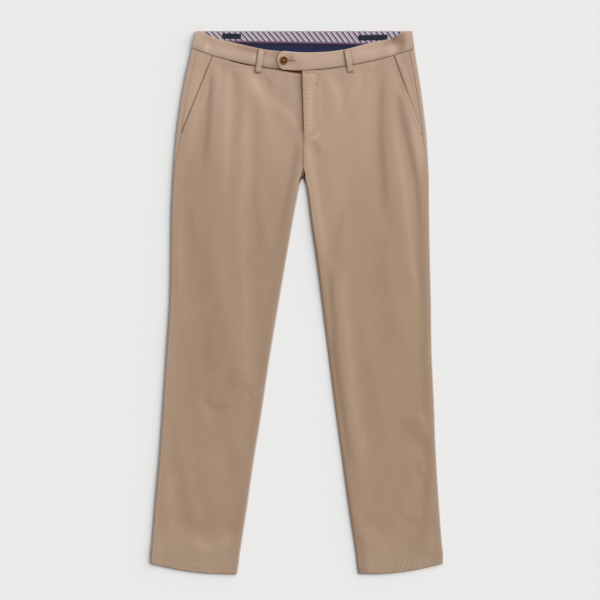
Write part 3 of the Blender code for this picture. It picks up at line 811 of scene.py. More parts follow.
FOLDS = (
    Fold("right pocket trough", ((-179, 490), (-181, 450), (-184, 410), (-187, 360), (-192, 310),
          (-198, 255)), 10, -1.9, (0.1, 0.45)),
    Fold("right pocket ridge", ((-197, 450), (-207, 410), (-213, 370), (-222, 330), (-232, 290)), 9, 0.7),
    Fold("right short ridge", ((-167, 504), (-163, 480), (-165, 445), (-168, 415)), 6, 1.0, (0.1, 0.5)),
    Fold("right front ridge", ((-140, 496), (-143, 450), (-144, 400), (-147, 340), (-148, 280),
          (-150, 215)), 9, 1.1, (0.08, 0.4)),
    Fold("right coin hollow", ((-141, 505), (-132, 480), (-121, 455), (-119, 400), (-121, 350),
          (-124, 300)), 8, -0.55, (0.05, 0.75)),
    Fold("right middle ridge", ((-102, 445), (-105, 380), (-107, 320), (-109, 250), (-114, 190),
          (-111, 120), (-109, 50), (-106, -20), (-108, -80), (-100, -130), (-84, -190)),
         12, 0.6, (0.1, 0.1)),
    Fold("right hip hollow", ((-88, 410), (-84, 350), (-84, 300), (-88, 250), (-84, 200), (-80, 140),
          (-68, 80)), 11, -0.5, (0.15, 0.3)),
    Fold("right drag line", ((-99, 496), (-92, 466), (-74, 440), (-65, 415), (-55, 385), (-40, 345)),
         12, 1.45, (0.05, 0.75)),
    Fold("right drag to fly", ((-74, 445), (-47, 421), (-21, 401), (-5, 384), (9, 366)),
         9, 0.85, (0.3, 0.1)),
    Fold("right hollow by loop", ((-71, 486), (-61, 468), (-52, 446)), 5, -1.0),
    Fold("right inner hollow", ((6, 345), (0, 310), (-6, 275), (-13, 240), (-21, 205), (-31, 160),
          (-42, 110)), 9, -1.25, (0.1, 0.55)),
    Fold("right side band", ((-243, 250), (-246, 170), (-246, 80), (-238, 0), (-240, -100), (-243, -200),
          (-246, -280)), 13, 0.35, (0.2, 0.2)),
    Fold("right thigh edge", ((-236, 222), (-222, 180), (-216, 130), (-212, 70)), 8, -0.5),
    Fold("right thigh plane", ((-196, 190), (-190, 80), (-187, 0), (-184, -90), (-176, -175)),
         24, -0.45, (0.3, 0.15), spread=1.7),
    Fold("right knee plane", ((-165, 70), (-160, -40), (-148, -120), (-135, -190)),
         18, -0.35, (0.3, 0.1), spread=1.8),
    Fold("right knee crease", ((-200, -194), (-176, -215), (-132, -217), (-93, -205)),
         11, -0.55, (0.15, 0.15)),
    Fold("right knee notch", ((-101, -182), (-91, -204)), 5, -0.7),
    Fold("right knee ridge", ((-206, -188), (-194, -212), (-184, -240), (-182, -265)),
         9, 0.6, (0.2, 0.5)),
    Fold("right shin shade", ((-128, -285), (-130, -330), (-128, -370)),
         20, -0.35, (0.3, 0.3), spread=1.8),
    Fold("right calf band", ((-266, -330), (-264, -400), (-262, -450), (-266, -510)),
         13, 0.6, (0.2, 0.3)),
    Fold("right calf edge", ((-243, -350), (-240, -400), (-236, -440)), 9, -0.3),
    Fold("right ankle bowl", ((-238, -428), (-224, -460), (-196, -473), (-160, -468), (-124, -456)),
         14, -0.55, (0.2, 0.2)),
    Fold("right ankle crescent", ((-224, -486), (-206, -503), (-184, -514), (-158, -504), (-140, -489),
          (-120, -478)), 13, 0.4, (0.25, 0.1)),
    Fold("right ankle hollow", ((-204, -527), (-176, -533), (-150, -519), (-128, -507)), 8, -0.6),
    Fold("left pocket trough", ((185, 505), (181, 460), (178, 420), (177, 380), (179, 330), (182, 290),
          (185, 240), (190, 190), (199, 145)), 12, -1.55, (0.2, 0.35)),
    Fold("left front ridge", ((200, 430), (205, 370), (212, 320), (220, 280), (227, 230), (232, 190),
          (238, 140), (243, 90), (248, 40), (249, 0)), 9, 0.85, (0.25, 0.15)),
    Fold("left side trough", ((215, 448), (219, 415), (223, 390), (232, 355), (241, 315), (248, 285),
          (254, 240), (260, 195), (265, 150), (267, 105)), 8, -1.5, (0.08, 0.35)),
    Fold("left side swell", ((246, 428), (252, 380), (257, 340), (261, 300), (262, 255)),
         8, 1.6, (0.25, 0.25)),
    Fold("left facing ridge", ((226, 508), (233, 480), (241, 457), (248, 432)), 5, 1.3, (0.15, 0.3)),
    Fold("left fly ridge", ((60, 490), (76, 462), (87, 438), (86, 400), (80, 372)), 9, 0.75, (0.1, 0.4)),
    Fold("left loop ridge", ((133, 494), (131, 460), (118, 435), (103, 408)), 8, 0.85, (0.1, 0.4)),
    Fold("left waist ridge", ((160, 505), (152, 484), (149, 462)), 6, 0.9, (0.05, 0.5)),
    Fold("left crotch hollow", ((29, 345), (41, 328), (52, 310)), 8, -0.9),
    Fold("left crotch ridge", ((18, 338), (25, 310), (31, 275), (38, 235), (44, 195), (52, 150),
          (58, 105), (60, 60)), 8, 0.8, (0.08, 0.3)),
    Fold("left inner shade", ((102, 215), (92, 160), (83, 115), (76, 70)), 9, -0.45),
    Fold("left inner trough", ((76, 90), (72, 45), (75, 5), (80, -35), (86, -80), (90, -110)),
         8, -1.3, (0.3, 0.3)),
    Fold("left inner roll", ((66, -15), (74, -70), (82, -130), (92, -200), (100, -260), (108, -320),
          (112, -360)), 10, -2.0, (0.2, 0.25)),
    Fold("left hem corner", ((126, -474), (133, -515), (138, -552), (140, -570)), 8, -1.5, (0.3, 0.01)),
    Fold("left inner ridge", ((109, 130), (103, 70), (103, 0), (107, -60), (112, -130), (118, -190),
          (124, -245), (136, -290), (144, -340), (147, -400), (149, -445)), 14, 0.5, (0.12, 0.2)),
    Fold("left thigh plane", ((192, 160), (180, 100), (182, 40), (198, -30), (208, -90), (214, -160)),
         24, -0.35, (0.25, 0.3), spread=1.7),
    Fold("left side hollow", ((266, 110), (269, 30), (272, -60), (275, -150), (279, -230)), 6, -0.6),
    Fold("left knee ridge", ((256, -222), (264, -245), (271, -264)), 6, 0.7),
    Fold("left knee crease", ((228, -232), (242, -262), (260, -286), (288, -284)),
         17, -0.75, (0.25, 0.1)),
    Fold("left shin notch", ((255, -322), (259, -368)), 6, -0.7),
    Fold("left calf trough", ((274, -342), (273, -400), (268, -450), (263, -500), (260, -535)),
         11, -0.8, (0.2, 0.2)),
    Fold("left ankle shade", ((208, -448), (236, -452), (264, -460)), 11, -0.8),
    Fold("left ankle plane", ((232, -455), (240, -495), (250, -535)), 17, -0.5, (0.3, 0.2), spread=1.8),
    Fold("left ankle ridge", ((126, -468), (150, -474), (172, -492), (188, -522), (196, -548)),
         16, 0.4, (0.1, 0.3), spread=1.8),
)


@dataclass(frozen=True)
class ShadePatch:
    """A soft patch of painted shade, or of painted light where the share is negative."""

    centre: Point
    reach: Point
    share: float

    def at(self, x: Array, y: Array) -> Array:
        """The patch's share at each point.

        Args:
            x: the points' X.
            y: the points' Y.

        Returns:
            The share, which fades out from the centre.
        """
        across = (x - self.centre[0]) / self.reach[0]
        along = (y - self.centre[1]) / self.reach[1]
        return self.share * np.exp(-(across**2) - along**2)


# Broad patches of painted shade and painted light on the legs, where the folds give too little.
SHADE_PATCHES = (
    ShadePatch((-215, 285), (52, 150), 0.145),
    ShadePatch((-35, 215), (36, 90), 0.10),
    ShadePatch((-200, -120), (45, 95), 0.08),
    ShadePatch((65, 215), (42, 110), -0.10),
    ShadePatch((202, 395), (26, 90), 0.13),
    ShadePatch((160, 250), (22, 80), 0.06),
    ShadePatch((256, 355), (9, 42), -0.16),
    ShadePatch((266, 318), (8, 34), -0.20),
    ShadePatch((-88, 468), (22, 26), -0.09),
    ShadePatch((-168, -446), (46, 24), 0.09),
    ShadePatch((-148, -180), (42, 28), 0.06),
    ShadePatch((165, -503), (36, 30), -0.06),
    ShadePatch((250, 90), (25, 130), -0.08),
    ShadePatch((52, 130), (40, 90), -0.05),
    ShadePatch((110, 20), (42, 130), -0.075),
    ShadePatch((164, 20), (30, 110), -0.05),
    ShadePatch((222, 0), (28, 140), -0.075),
    ShadePatch((100, -300), (28, 170), -0.06),
    ShadePatch((-140, 30), (34, 90), -0.055),
    ShadePatch((-110, -60), (26, 80), -0.05),
    ShadePatch((-266, -130), (16, 110), -0.05),
    ShadePatch((-245, -500), (70, 44), -0.055),
    ShadePatch((-176, -530), (44, 34), -0.075),
    ShadePatch((166, -545), (44, 24), -0.05),
    ShadePatch((96, 452), (26, 40), -0.07),
    ShadePatch((200, 470), (18, 40), -0.04),
)

# Narrow lines of painted shade, or painted highlight where the rise is negative, along seams and puckers.
PAINTED_STREAKS = (
    Ridge("fly foot line", ((12, 340.8), (24, 342.6), (34, 345.8), (42, 350), (48, 355)),
         1.9, -0.25, 0.12),
    Ridge("fly foot shade", ((17, 350), (27, 353), (36, 361)), 3.0, 0.10, 0.2),
    Ridge("fly line light", ((46.4, 474), (46.6, 425), (46.6, 368)), 1.5, -0.15, 0.2),
    Ridge("under the tab", ((15, 484), (27, 483.5), (37, 484.5)), 1.7, 0.34, 0.15),
    Ridge("ankle crescent", ((-222, -488), (-204, -504), (-184, -512), (-158, -504), (-122, -480)),
         9.0, -0.10, 0.2),
    Ridge("knee edge", ((-136, -92), (-118, -130), (-100, -160), (-86, -196)), 7.0, -0.06, 0.3),
    Ridge("v pucker dark", ((34, 486), (44, 478.5), (54, 483)), 1.8, 0.26, 0.2),
    Ridge("v pucker light", ((25, 482), (35, 478), (43, 475)), 2.0, -0.15, 0.3),
)


def painted_shading(x: Array, y: Array) -> Array:
    """Share of painted shade on the fronts at each point, below 0 for painted light."""
    return sum(fade.at(x, y) for fade in SHADE_PATCHES) + sum(streak.lift(x, y) for streak in PAINTED_STREAKS)


FLY_CURVE = ((46.6, 480), (46.8, 425), (46.8, 380), (44, 361), (35, 349), (17, 343))
COIN_STITCH = ((-150, 503), (-120, 493), (-89, 487))
POCKET_STITCH = {
    Half.RIGHT: ((-172.2, 511.0), (-203.8, 433.0), (-234.8, 358.0)),
    Half.LEFT: ((197.6, 512.0), (227.4, 432.0), (256.6, 355.0)),
}
HEM_UP = 19.5
SEWN = (
    Ridge("fly welt", FLY_CURVE[:3], 3.4, 0.4, 0.15),
    Ridge("fly foot", ((46, 364), (42, 353), (30, 346), (13, 341.5)), 2.2, 0.7, 0.2),
    Ridge("fly foot hollow", ((36, 370), (29, 357), (17, 351)), 4.5, -0.9, 0.3),
    Ridge("fly hollow", ((33, 458), (33, 420), (32, 372)), 6.0, -0.7, 0.2),
    Ridge("coin channel", COIN_STITCH, 1.4, -0.3),
    Ridge("right pocket channel", POCKET_STITCH[Half.RIGHT], 1.4, -0.25),
    Ridge("left pocket channel", POCKET_STITCH[Half.LEFT], 1.4, -0.25),
    Ridge("v pucker", ((33, 485), (43, 478.5), (53, 482), (64, 486)), 1.8, -0.7, 0.2),
    Ridge("pucker by the waist", ((15, 479), (26, 478), (35, 482)), 2.2, -0.9, 0.2),
    Ridge("fly dimple", ((29, 461), (37, 458), (44, 459)), 3.2, -1.0, 0.3),
    Pucker("fly puckers", ((19, 455), (20, 410), (20, 356)), 6.5, 8.8, 0.75),
    Pucker("fly stitch puckers", FLY_CURVE, 4.0, 9.5, 0.22, 0.4),
    Pucker("right pocket puckers", POCKET_STITCH[Half.RIGHT], 5.0, 11.0, 0.12, 0.3),
    Pucker("left pocket puckers", POCKET_STITCH[Half.LEFT], 5.0, 11.0, 0.12, 0.3),
    Pucker("left seam puckers", ((236, 510), (252, 435), (264, 360)), 7.0, 10.5, 0.42, 0.5),
    Pucker("right waist gathers", ((-160, 498), (-60, 474), (8, 470)), 9.0, 23.0, 0.3),
    Pucker("left waist gathers", ((60, 474), (120, 486), (190, 508)), 9.0, 25.0, 0.3),
)


@dataclass(frozen=True)
class Station:
    """A cross line of one half: side fold, seam on top, inner fold, bow and base."""

    name: str
    side: Point
    seam: Point
    fold: Point
    bow: float = 0.0
    base: float = 0.0

    def row(self) -> list[float]:
        """The station's sizes as one row."""
        return [*self.side, *self.seam, *self.fold, self.bow, self.base]


@dataclass(frozen=True)
class LegStation:
    """A cross line of a leg, whose seam lies just inside its inner fold."""

    name: str
    side: Point
    fold: Point
    bow: float = 0.0
    seam_in: float = 3.4

    def row(self) -> list[float]:
        """Work out the seam's place.

        Returns:
            The station's sizes as one row.
        """
        side, fold = Vector(self.side), Vector(self.fold)
        seam = fold + (side - fold).normalized() * self.seam_in
        return [*side, *seam, *fold, self.bow, 0.0]


RIGHT_STATIONS = (
    Station("waist seam", (-221.1, 534.5), (11.3, 487.5), (13.35, 532.8), 9.7, 1.5),
    Station("loop feet", (-225.3, 517.7), (11.6, 471.4), (13.35, 516.0), 8.6, 1.5),
    Station("yoke", (-230.8, 497.0), (12.1, 452.0), (13.35, 495.0), 7.0),
    Station("hip", (-236.4, 472.0), (12.6, 430.0), (13.35, 462.0), 5.0),
    Station("pocket", (-245.7, 419.0), (14.1, 383.3), (13.35, 394.0), 2.0),
    Station("pocket foot", (-253.5, 362.3), (14.5, 337.1), (13.35, 337.1)),
    Station("seat", (-256.6, 328.7), (13.9, 309.8), (13.35, 299.3)),
    Station("fork", (-258.9, 303.5), (12.7, 286.7), (13.35, 262.6)),
    Station("under fork", (-259.8, 290.9), (11.8, 277.2), (12.0, 262.2)),
    Station("crotch", (-260.6, 278.3), (9.7, 268.2), (10.4, 261.4)),
    Station("inseam", (-261.2, 267.8), (5.5, 258.3), (8.8, 258.7)),
    LegStation("top of thigh", (-262.1, 253.1), (3.2, 232.1)),
    LegStation("thigh", (-265.0, 190.1), (-8.9, 167.0)),
    LegStation("mid thigh", (-265.9, 110.3), (-23.1, 85.1)),
    LegStation("low thigh", (-268.0, 5.3), (-41.0, -20.0)),
    LegStation("knee", (-274.9, -99.8), (-58.2, -125.0)),
    LegStation("calf", (-281.6, -204.8), (-73.3, -227.9)),
    LegStation("shin", (-289.0, -309.8), (-90.3, -332.9)),
    LegStation("low shin", (-298.4, -414.8), (-105.4, -437.9), 3.0),
    LegStation("ankle", (-305.1, -498.8), (-118.2, -520.8), 6.0),
    LegStation("hem stitch", (-308.3, -526.5), (-121.8, -549.6), 7.3),
    LegStation("hem", (-308.5, -547.1), (-125.4, -570.2), 7.3),
)

LEFT_STATIONS = (
    Station("waist seam", (247.6, 533.2), (11.3, 487.4), (13.65, 532.8), 8.1, 1.5),
    Station("loop feet", (250.7, 516.6), (11.6, 471.3), (13.65, 516.0), 7.2, 1.5),
    Station("yoke", (254.3, 497.0), (12.1, 452.0), (13.65, 495.0), 6.0),
    Station("hip", (258.6, 472.0), (12.6, 430.0), (13.65, 462.0), 4.0),
    Station("pocket", (265.7, 419.0), (14.1, 383.3), (13.65, 394.0), 1.5),
    Station("pocket foot", (272.4, 362.3), (14.5, 337.1), (13.65, 337.1)),
    Station("seat", (275.1, 328.7), (13.9, 309.8), (13.65, 299.3)),
    Station("fork", (276.6, 303.5), (13.3, 286.7), (13.65, 262.6)),
    Station("under fork", (277.2, 288.8), (15.5, 272.0), (16.4, 256.6)),
    Station("crotch", (277.8, 276.2), (17.9, 258.9), (18.9, 251.8)),
    Station("inseam", (278.3, 263.6), (23.3, 245.7), (20.0, 246.1)),
    LegStation("top of thigh", (278.5, 244.7), (23.3, 225.8)),
    LegStation("thigh", (278.9, 183.8), (30.9, 164.9)),
    LegStation("mid thigh", (279.9, 110.3), (42.0, 89.3)),
    LegStation("low thigh", (282.5, 5.3), (55.1, -15.8)),
    LegStation("knee", (283.9, -99.8), (68.3, -120.8)),
    LegStation("calf", (288.6, -204.8), (81.8, -226.8)),
    LegStation("shin", (292.5, -309.8), (96.2, -331.8)),
    LegStation("low shin", (298.8, -414.8), (110.8, -437.9), 3.0),
    LegStation("ankle", (305.1, -498.8), (123.3, -520.8), 6.0),
    LegStation("hem stitch", (308.0, -526.5), (126.4, -549.6), 7.3),
    LegStation("hem", (308.3, -547.1), (129.8, -570.2), 7.3),
)

# The stations at the fork and at the end of the crotch, counted from the waist.
FORK = 7
CROTCH_END = 11
CENTRE_FRONT = 11.3
FOLD_TOP = 6.2
MOUTH_ROUNDS = 7
# Share of painted sheen where a fold turns.
FOLD_SHEEN = 0.7


@dataclass(frozen=True)
class SlantPocket:
    """A pocket's mouth, and how far in from the side fold the side seam lies."""

    mouth_top: Point
    mouth_foot: Point
    seam_in_at_waist: float
    seam_in_at_foot: float


POCKETS = {
    Half.RIGHT: SlantPocket((-177.8, 516.0), (-241.0, 359.0), 13.0, 11.5),
    Half.LEFT: SlantPocket((203.5, 517.0), (263.0, 355.0), 12.0, 9.0),
}


class CrossLines:
    """Close cross lines of one half, with each size as a column of values."""

    def __init__(self, rows: Array) -> None:
        """Split the rows into named columns.

        Args:
            rows: a row for each line: its station's sizes, and 1 below the fork.
        """
        self.rows = rows
        columns = [rows[:, index : index + 1] for index in range(rows.shape[1])]
        self.side_x, self.side_y, self.seam_x, self.seam_y = columns[:4]
        self.fold_x, self.fold_y, self.bow, self.base, self.below_fork = columns[4:]
        self.length = np.hypot(self.seam_x - self.side_x, self.seam_y - self.side_y)

    def at(self, run: Array) -> tuple[Array, Array]:
        """Find places along each line.

        Args:
            run: their distances from the side fold.

        Returns:
            Their X and Y.
        """
        share = run / self.length
        x = self.side_x + (self.seam_x - self.side_x) * share
        y = self.side_y + (self.seam_y - self.side_y) * share
        return x, y - self.bow * 4 * share * (1 - share)

    @property
    def fold_top(self) -> Array:
        """Height of the side fold's top."""
        return FOLD_TOP + self.base * 2 / 3

    @property
    def radius(self) -> Array:
        """Outer radius of the side fold and inner fold."""
        return (self.fold_top - self.base) / 2


@dataclass
class LaidHalf:
    """How one half of the trousers lies: its outline and the height of its top."""

    half: Half
    wall: float = 0.9
    panel_top: float = 5.0
    rise_at_waist: float = 1.5
    highest: float = 7.9
    least_air: float = 0.4
    fold_flat: float = 4.0
    fold_fade: float = 24.0
    inner_fade: float = 26.0
    inner_tops: tuple[Point, ...] = ((-600.0, FOLD_TOP), (600.0, FOLD_TOP))
    seam_settles_y: float = 280.0
    inseam_in: float = 3.4
    fork_in: float = 3.1
    pocket_lap: float = 12.0
    pocket_lap_rise: float = 1.8
    fly_raise: float = 2.2
    under_fly_raise: float = 1.1
    fly_foot_y: float = 356.0
    fly_half_width: float = 22.0
    fly_fade: float = 17.0
    spacing: float = 4.4
    fine_spacing: float = 1.9
    coarse_y: Pair = (-505.0, 335.0)

    def __post_init__(self) -> None:
        """Work out the close cross lines."""
        self.right = self.half is Half.RIGHT
        self.side = self.half.name.lower()
        self.pocket = POCKETS[self.half]
        stations = RIGHT_STATIONS if self.right else LEFT_STATIONS
        self.table = np.array([[*station.row(), 0.0] for station in stations])
        self.lines = self.close_lines()

    def close_lines(self) -> CrossLines:
        """Put close cross lines between the stations.

        Returns:
            The close lines, straight at the crotch and smooth elsewhere.
        """
        dense = []
        for index in range(len(self.table) - 1):
            around = rows_around(self.table, index)
            start, end = around[1], around[2].copy()
            straight = FORK - 1 <= index < CROTCH_END
            if index == FORK - 1:
                to_fold = end[4:6] - end[2:4]
                end[4:6] -= to_fold / np.hypot(*to_fold) * self.fork_in
            middle = (start[1] + end[1]) / 2
            coarse = self.coarse_y[0] <= middle <= self.coarse_y[1]
            spacing = self.spacing if coarse else self.fine_spacing
            steps = max(1, math.ceil(abs(start[1] - end[1]) / spacing))
            for share in (step / steps for step in range(steps)):
                row = start + (end - start) * share if straight else curve_between(around, share)
                row[8] = float(index >= FORK)
                dense.append(row)
        rows = np.array([*dense, self.table[-1]])
        rows[-1, 8] = 1.0
        rows[:, 7] = np.maximum(rows[:, 7], 0.0)
        return CrossLines(rows)

    def inner_top(self, y: Array) -> Array:
        """Height of the inner fold's top at each Y."""
        places, tops = zip(*self.inner_tops)
        return np.interp(y, places, tops)

    def waist_y(self, x: Any) -> Any:
        """Find the front waist seam.

        Args:
            x: X of one or more places.

        Returns:
            Y of the seam there.
        """
        side_x, side_y, seam_x, seam_y = self.table[0, :4]
        share = (x - side_x) / (seam_x - side_x)
        return side_y + (seam_y - side_y) * share - self.table[0, 6] * 4 * share * (1 - share)

    def seam_inset(self, y: Array) -> Array:
        """Distance from the side fold in to the side seam.

        Args:
            y: Y of the side fold on each line.

        Returns:
            The distance on each line.
        """
        pocket = self.pocket
        top_y = self.table[0, 1]
        foot_y = pocket.mouth_foot[1]
        change = pocket.seam_in_at_foot - pocket.seam_in_at_waist
        slanted = pocket.seam_in_at_waist + change * (top_y - y) / (top_y - foot_y)
        settled = pocket.seam_in_at_foot - self.inseam_in
        settled = self.inseam_in + settled * ease(self.seam_settles_y, foot_y, y)
        return np.where(y > foot_y, slanted, settled)

    def front_inset(self, lines: CrossLines) -> Array:
        """Distance from the side fold in to the front panel's edge.

        Args:
            lines: the cross lines to measure along.

        Returns:
            The distance on each line.
        """
        top, foot = self.pocket.mouth_top, self.pocket.mouth_foot
        run = lines.length * 0
        for _ in range(MOUTH_ROUNDS):
            _, y = lines.at(run)
            mouth_x = top[0] + (foot[0] - top[0]) * (top[1] - y) / (top[1] - foot[1])
            run = (mouth_x - lines.side_x) / (lines.seam_x - lines.side_x) * lines.length
        inset = self.seam_inset(lines.side_y)
        return np.where(lines.side_y < foot[1], inset, np.maximum(run, inset))

    def fly(self, x: Array, y: Array) -> Array:
        """Share of the fly's thickness under the cloth.

        Args:
            x: the points' X.
            y: the points' Y.

        Returns:
            A share from 0 to 1 for each point.
        """
        wide = 1 - ease(self.fly_half_width * 0.4, self.fly_half_width * 1.6, x - CENTRE_FRONT)
        narrow = np.clip(1 - (CENTRE_FRONT - x) / self.fly_fade, 0, 1) ** 1.5
        across = np.where(x > CENTRE_FRONT, wide, narrow)
        return across * ease(self.fly_foot_y - 30, self.fly_foot_y + 10, y)

    def lowest(self, lines: CrossLines, from_side: Array) -> Array:
        """Least height of the cloth, over what lies under it.

        Args:
            lines: the cross lines that the points lie on.
            from_side: their distance from the side fold.

        Returns:
            The least Z of each point.
        """
        foot_y = self.pocket.mouth_foot[1]
        reach = self.front_inset(lines) + self.pocket_lap
        lapped = 1 - ease(reach + 1, reach + 14, from_side)
        lapped = lapped * ease(foot_y - 14, foot_y, lines.side_y)
        return 2 * self.wall + self.least_air + self.pocket_lap_rise * lapped

    def height(self, lines: CrossLines, x: Array, y: Array) -> Array:
        """Height of the cloth's upper face.

        Args:
            lines: the cross lines that the points lie on, one row each.
            x: the points' X.
            y: the points' Y.

        Returns:
            Z of each point.
        """
        from_side = np.abs(x - lines.side_x)
        flat = np.maximum(self.fold_flat, self.seam_inset(lines.side_y) + 2)
        held = 1 - ease(flat, flat + self.fold_fade, from_side)
        mask = ease(flat - 1, flat + 7, from_side)
        in_leg = 1 - ease(self.table[FORK, 1], self.table[FORK, 1] + 30, lines.side_y)
        from_fold = np.abs(x - lines.fold_x)
        inner = np.minimum(np.abs(lines.seam_x - lines.fold_x) + 1, self.fold_flat)
        inner_held = (1 - np.clip((from_fold - inner) / self.inner_fade, 0, 1)) ** 2 * in_leg
        fly = self.fly(x, y)
        wanted = self.panel_top + self.rise_at_waist * (1 - ease(0, 45, self.waist_y(x) - y))
        for fold in FOLDS:
            wanted = wanted + fold.lift(x, y) * mask * (1 - fly)
        wanted = wanted + Unevenness().lift(x, y) * mask
        lowest = self.lowest(lines, from_side)
        middle = (lowest + self.highest) / 2
        half_reach = (self.highest - lowest) / 2
        panel = middle + half_reach * np.tanh((wanted - middle) / half_reach)
        raised = self.under_fly_raise if self.right else self.fly_raise
        surface = panel + (lines.fold_top - panel) * held + raised * fly
        surface = surface + (self.inner_top(lines.fold_y) - surface) * inner_held
        for detail in SEWN:
            surface = surface + detail.lift(x, y)
        return surface


def rolled(distance: Array, reach: float, depth: float) -> Array:
    """How far a turned edge curves down, at each distance from it."""
    share = 1 - np.clip(distance / reach, 0.0, 1.0)
    return depth * (1 - np.sqrt(np.maximum(1 - share * share, 0.0)))


def fold_sheen_at(distance: Array) -> Array:
    """Share of painted sheen at each distance from a fold."""
    return FOLD_SHEEN * bell(distance, 6.0)


def travel(points: Array, axis: int) -> Array:
    """Distance run along a grid's rows or columns.

    Args:
        points: the grid's points.
        axis: 0 to run down the columns, 1 to run along the rows.

    Returns:
        The distance of each point from the first one in its line.
    """
    steps = np.linalg.norm(np.diff(points, axis=axis), axis=-1)
    start = np.zeros_like(np.take(steps, [0], axis=axis))
    return np.cumsum(np.concatenate([start, steps], axis=axis), axis=axis)


def lifted(points: Array, rise: Any) -> Array:
    """The same points, raised."""
    return grid(points[..., 0], points[..., 1], points[..., 2] + rise)


def enclosed(points: Array, faces: Array) -> float:
    """Six times the volume that four-cornered faces close in.

    Args:
        points: the mesh's points.
        faces: its faces' corner numbers.

    Returns:
        The volume, negative where the faces look inwards.
    """
    middle = points - points.mean(0)
    volume = 0.0
    for second, third in ((1, 2), (2, 3)):
        corners = [middle[faces[:, place]] for place in (0, second, third)]
        volume += float((corners[0] * np.cross(corners[1], corners[2])).sum())
    return volume


def dressed(made: Piece, slot: Slot, *nodes: str) -> Piece:
    """Attach a finished piece to the root, hide the solids that it stands for, and log its faces.

    Args:
        made: the piece.
        slot: its material slot; not used.
        nodes: the solids that it stands for.

    Returns:
        The same piece.
    """
    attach(made, "root")
    if nodes:
        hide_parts(*nodes)
    LOG.info("%s: %d faces", made.name, len(made.data.polygons))
    return made


@dataclass
class Cloth:
    """A grid of cloth with an upper and a lower skin, both in millimetres."""

    name: str
    upper: Array
    lower: Array
    used: Array | None = None
    # Per-point shares: painted shade, below 0 for painted light; then painted sheen with a paler nap.
    painted_shade: Array | None = None
    sheen_and_nap: Array | None = None

    def quads(self) -> Array:
        """Corner numbers of the upper skin's faces.

        Returns:
            Four numbers for each face.
        """
        rows, columns = self.upper.shape[:2]
        index = np.arange(rows * columns).reshape(rows, columns)
        corners = (index[:-1, :-1], index[:-1, 1:], index[1:, 1:], index[1:, :-1])
        quads = np.stack(corners, axis=-1)
        return quads.reshape(-1, 4) if self.used is None else quads[self.used]

    def pattern(self) -> Array:
        """Lay the cloth out flat.

        Returns:
            Each point's place on the flat cloth, in metres.
        """
        across = travel(self.upper, 1)
        across = across - across[:, across.shape[1] // 2][:, None]
        along = travel(self.upper, 0).mean(1, keepdims=True)
        return np.stack(np.broadcast_arrays(across, -along), axis=-1) * MM

    def cut(self) -> tuple[float, float, float]:
        """Measure the flat cloth.

        Returns:
            Its width, length and area, in metres.
        """
        quads = self.quads()
        points = self.upper.reshape(-1, 3)
        first = points[quads[:, 2]] - points[quads[:, 0]]
        second = points[quads[:, 3]] - points[quads[:, 1]]
        area = np.linalg.norm(np.cross(first, second), axis=1).sum() / 2 * MM * MM
        widest = float(travel(self.upper, 1)[:, -1].max()) * MM
        longest = float(travel(self.upper, 0)[-1].max()) * MM
        return widest, longest, float(area)

    def made(self, finish: Any, shaded_twill: Any = None, sharp: float = 60.0) -> Piece:
        """Make the closed cloth as an object.

        Args:
            finish: the upper skin's material.
            shaded_twill: a darker copy that paints shade on the lower skin and the cut edges, if given.
            sharp: angle in degrees past which an edge is drawn sharp.

        Returns:
            The new object, with its flat pattern as its UV map.
        """
        quads = self.quads()
        count = self.upper.shape[0] * self.upper.shape[1]
        edges = np.concatenate([quads[:, [k, (k + 1) % 4]] for k in range(4)])
        ordered = np.sort(edges, axis=1)
        _, index, uses = np.unique(ordered, axis=0, return_index=True, return_counts=True)
        rim = edges[index[uses == 1]]
        walls = np.stack([rim[:, 1], rim[:, 0], rim[:, 0] + count, rim[:, 1] + count], axis=-1)
        faces = np.concatenate([quads, quads[:, ::-1] + count, walls])
        kept, faces = np.unique(faces, return_inverse=True)
        faces = faces.reshape(-1, 4)
        points = np.concatenate([self.upper.reshape(-1, 3), self.lower.reshape(-1, 3)])[kept]
        flat = np.tile(self.pattern().reshape(-1, 2), (2, 1))[kept]
        if enclosed(points, faces) < 0:
            faces = faces[:, ::-1]
        mesh = plain_mesh(self.name, ((points - BOX_CENTRE) * MM).tolist(), faces.tolist(), finish)
        layer = mesh.uv_layers.new(name="UVMap")
        layer.data.foreach_set("uv", flat[faces.reshape(-1)].reshape(-1).astype(np.float32))
        # The darker twill copy paints shade on the lower skin and the cut edges, but not on the hem's edge.
        if shaded_twill is not None:
            mesh.materials.append(shaded_twill)
            under = np.ones(len(faces), np.int32)
            under[: len(quads)] = 0
            hem = (rim >= count - self.upper.shape[1]).all(1)
            under[2 * len(quads) :][hem] = 0
            mesh.polygons.foreach_set("material_index", under)
        for label, share in (("painted_shade", self.painted_shade), ("sheen_and_nap", self.sheen_and_nap)):
            if share is not None:
                values = np.concatenate([share.reshape(-1), np.zeros(count)])[kept]
                painted = mesh.attributes.new(label, "FLOAT", "POINT")
                painted.data.foreach_set("value", values.astype(np.float32))
        mesh.shade_smooth()
        mesh.set_sharp_from_angle(angle=math.radians(sharp))
        return linked(self.name, mesh)

    def declare(self) -> None:
        """Log the flat cloth's width, length and area.
        """
        width, length, area = self.cut()
        LOG.info("%s: flat %.3f by %.3f m, %.4f m2", self.name, width, length, area)

    def laid(
        self, finish: Any, slot: Slot, rests_on: list[str], node: str, shaded_twill: Any = None
    ) -> Piece:
        """Args:
            finish: the upper skin's material.
            slot: its material slot.
            rests_on: what it lies on; not used.
            node: the solid that it stands for.
            shaded_twill: a darker copy that paints shade on the lower skin, if given.

        Returns:
            The new object.
        """
        found = dressed(self.made(finish, shaded_twill), slot, node)
        self.declare()
        return found


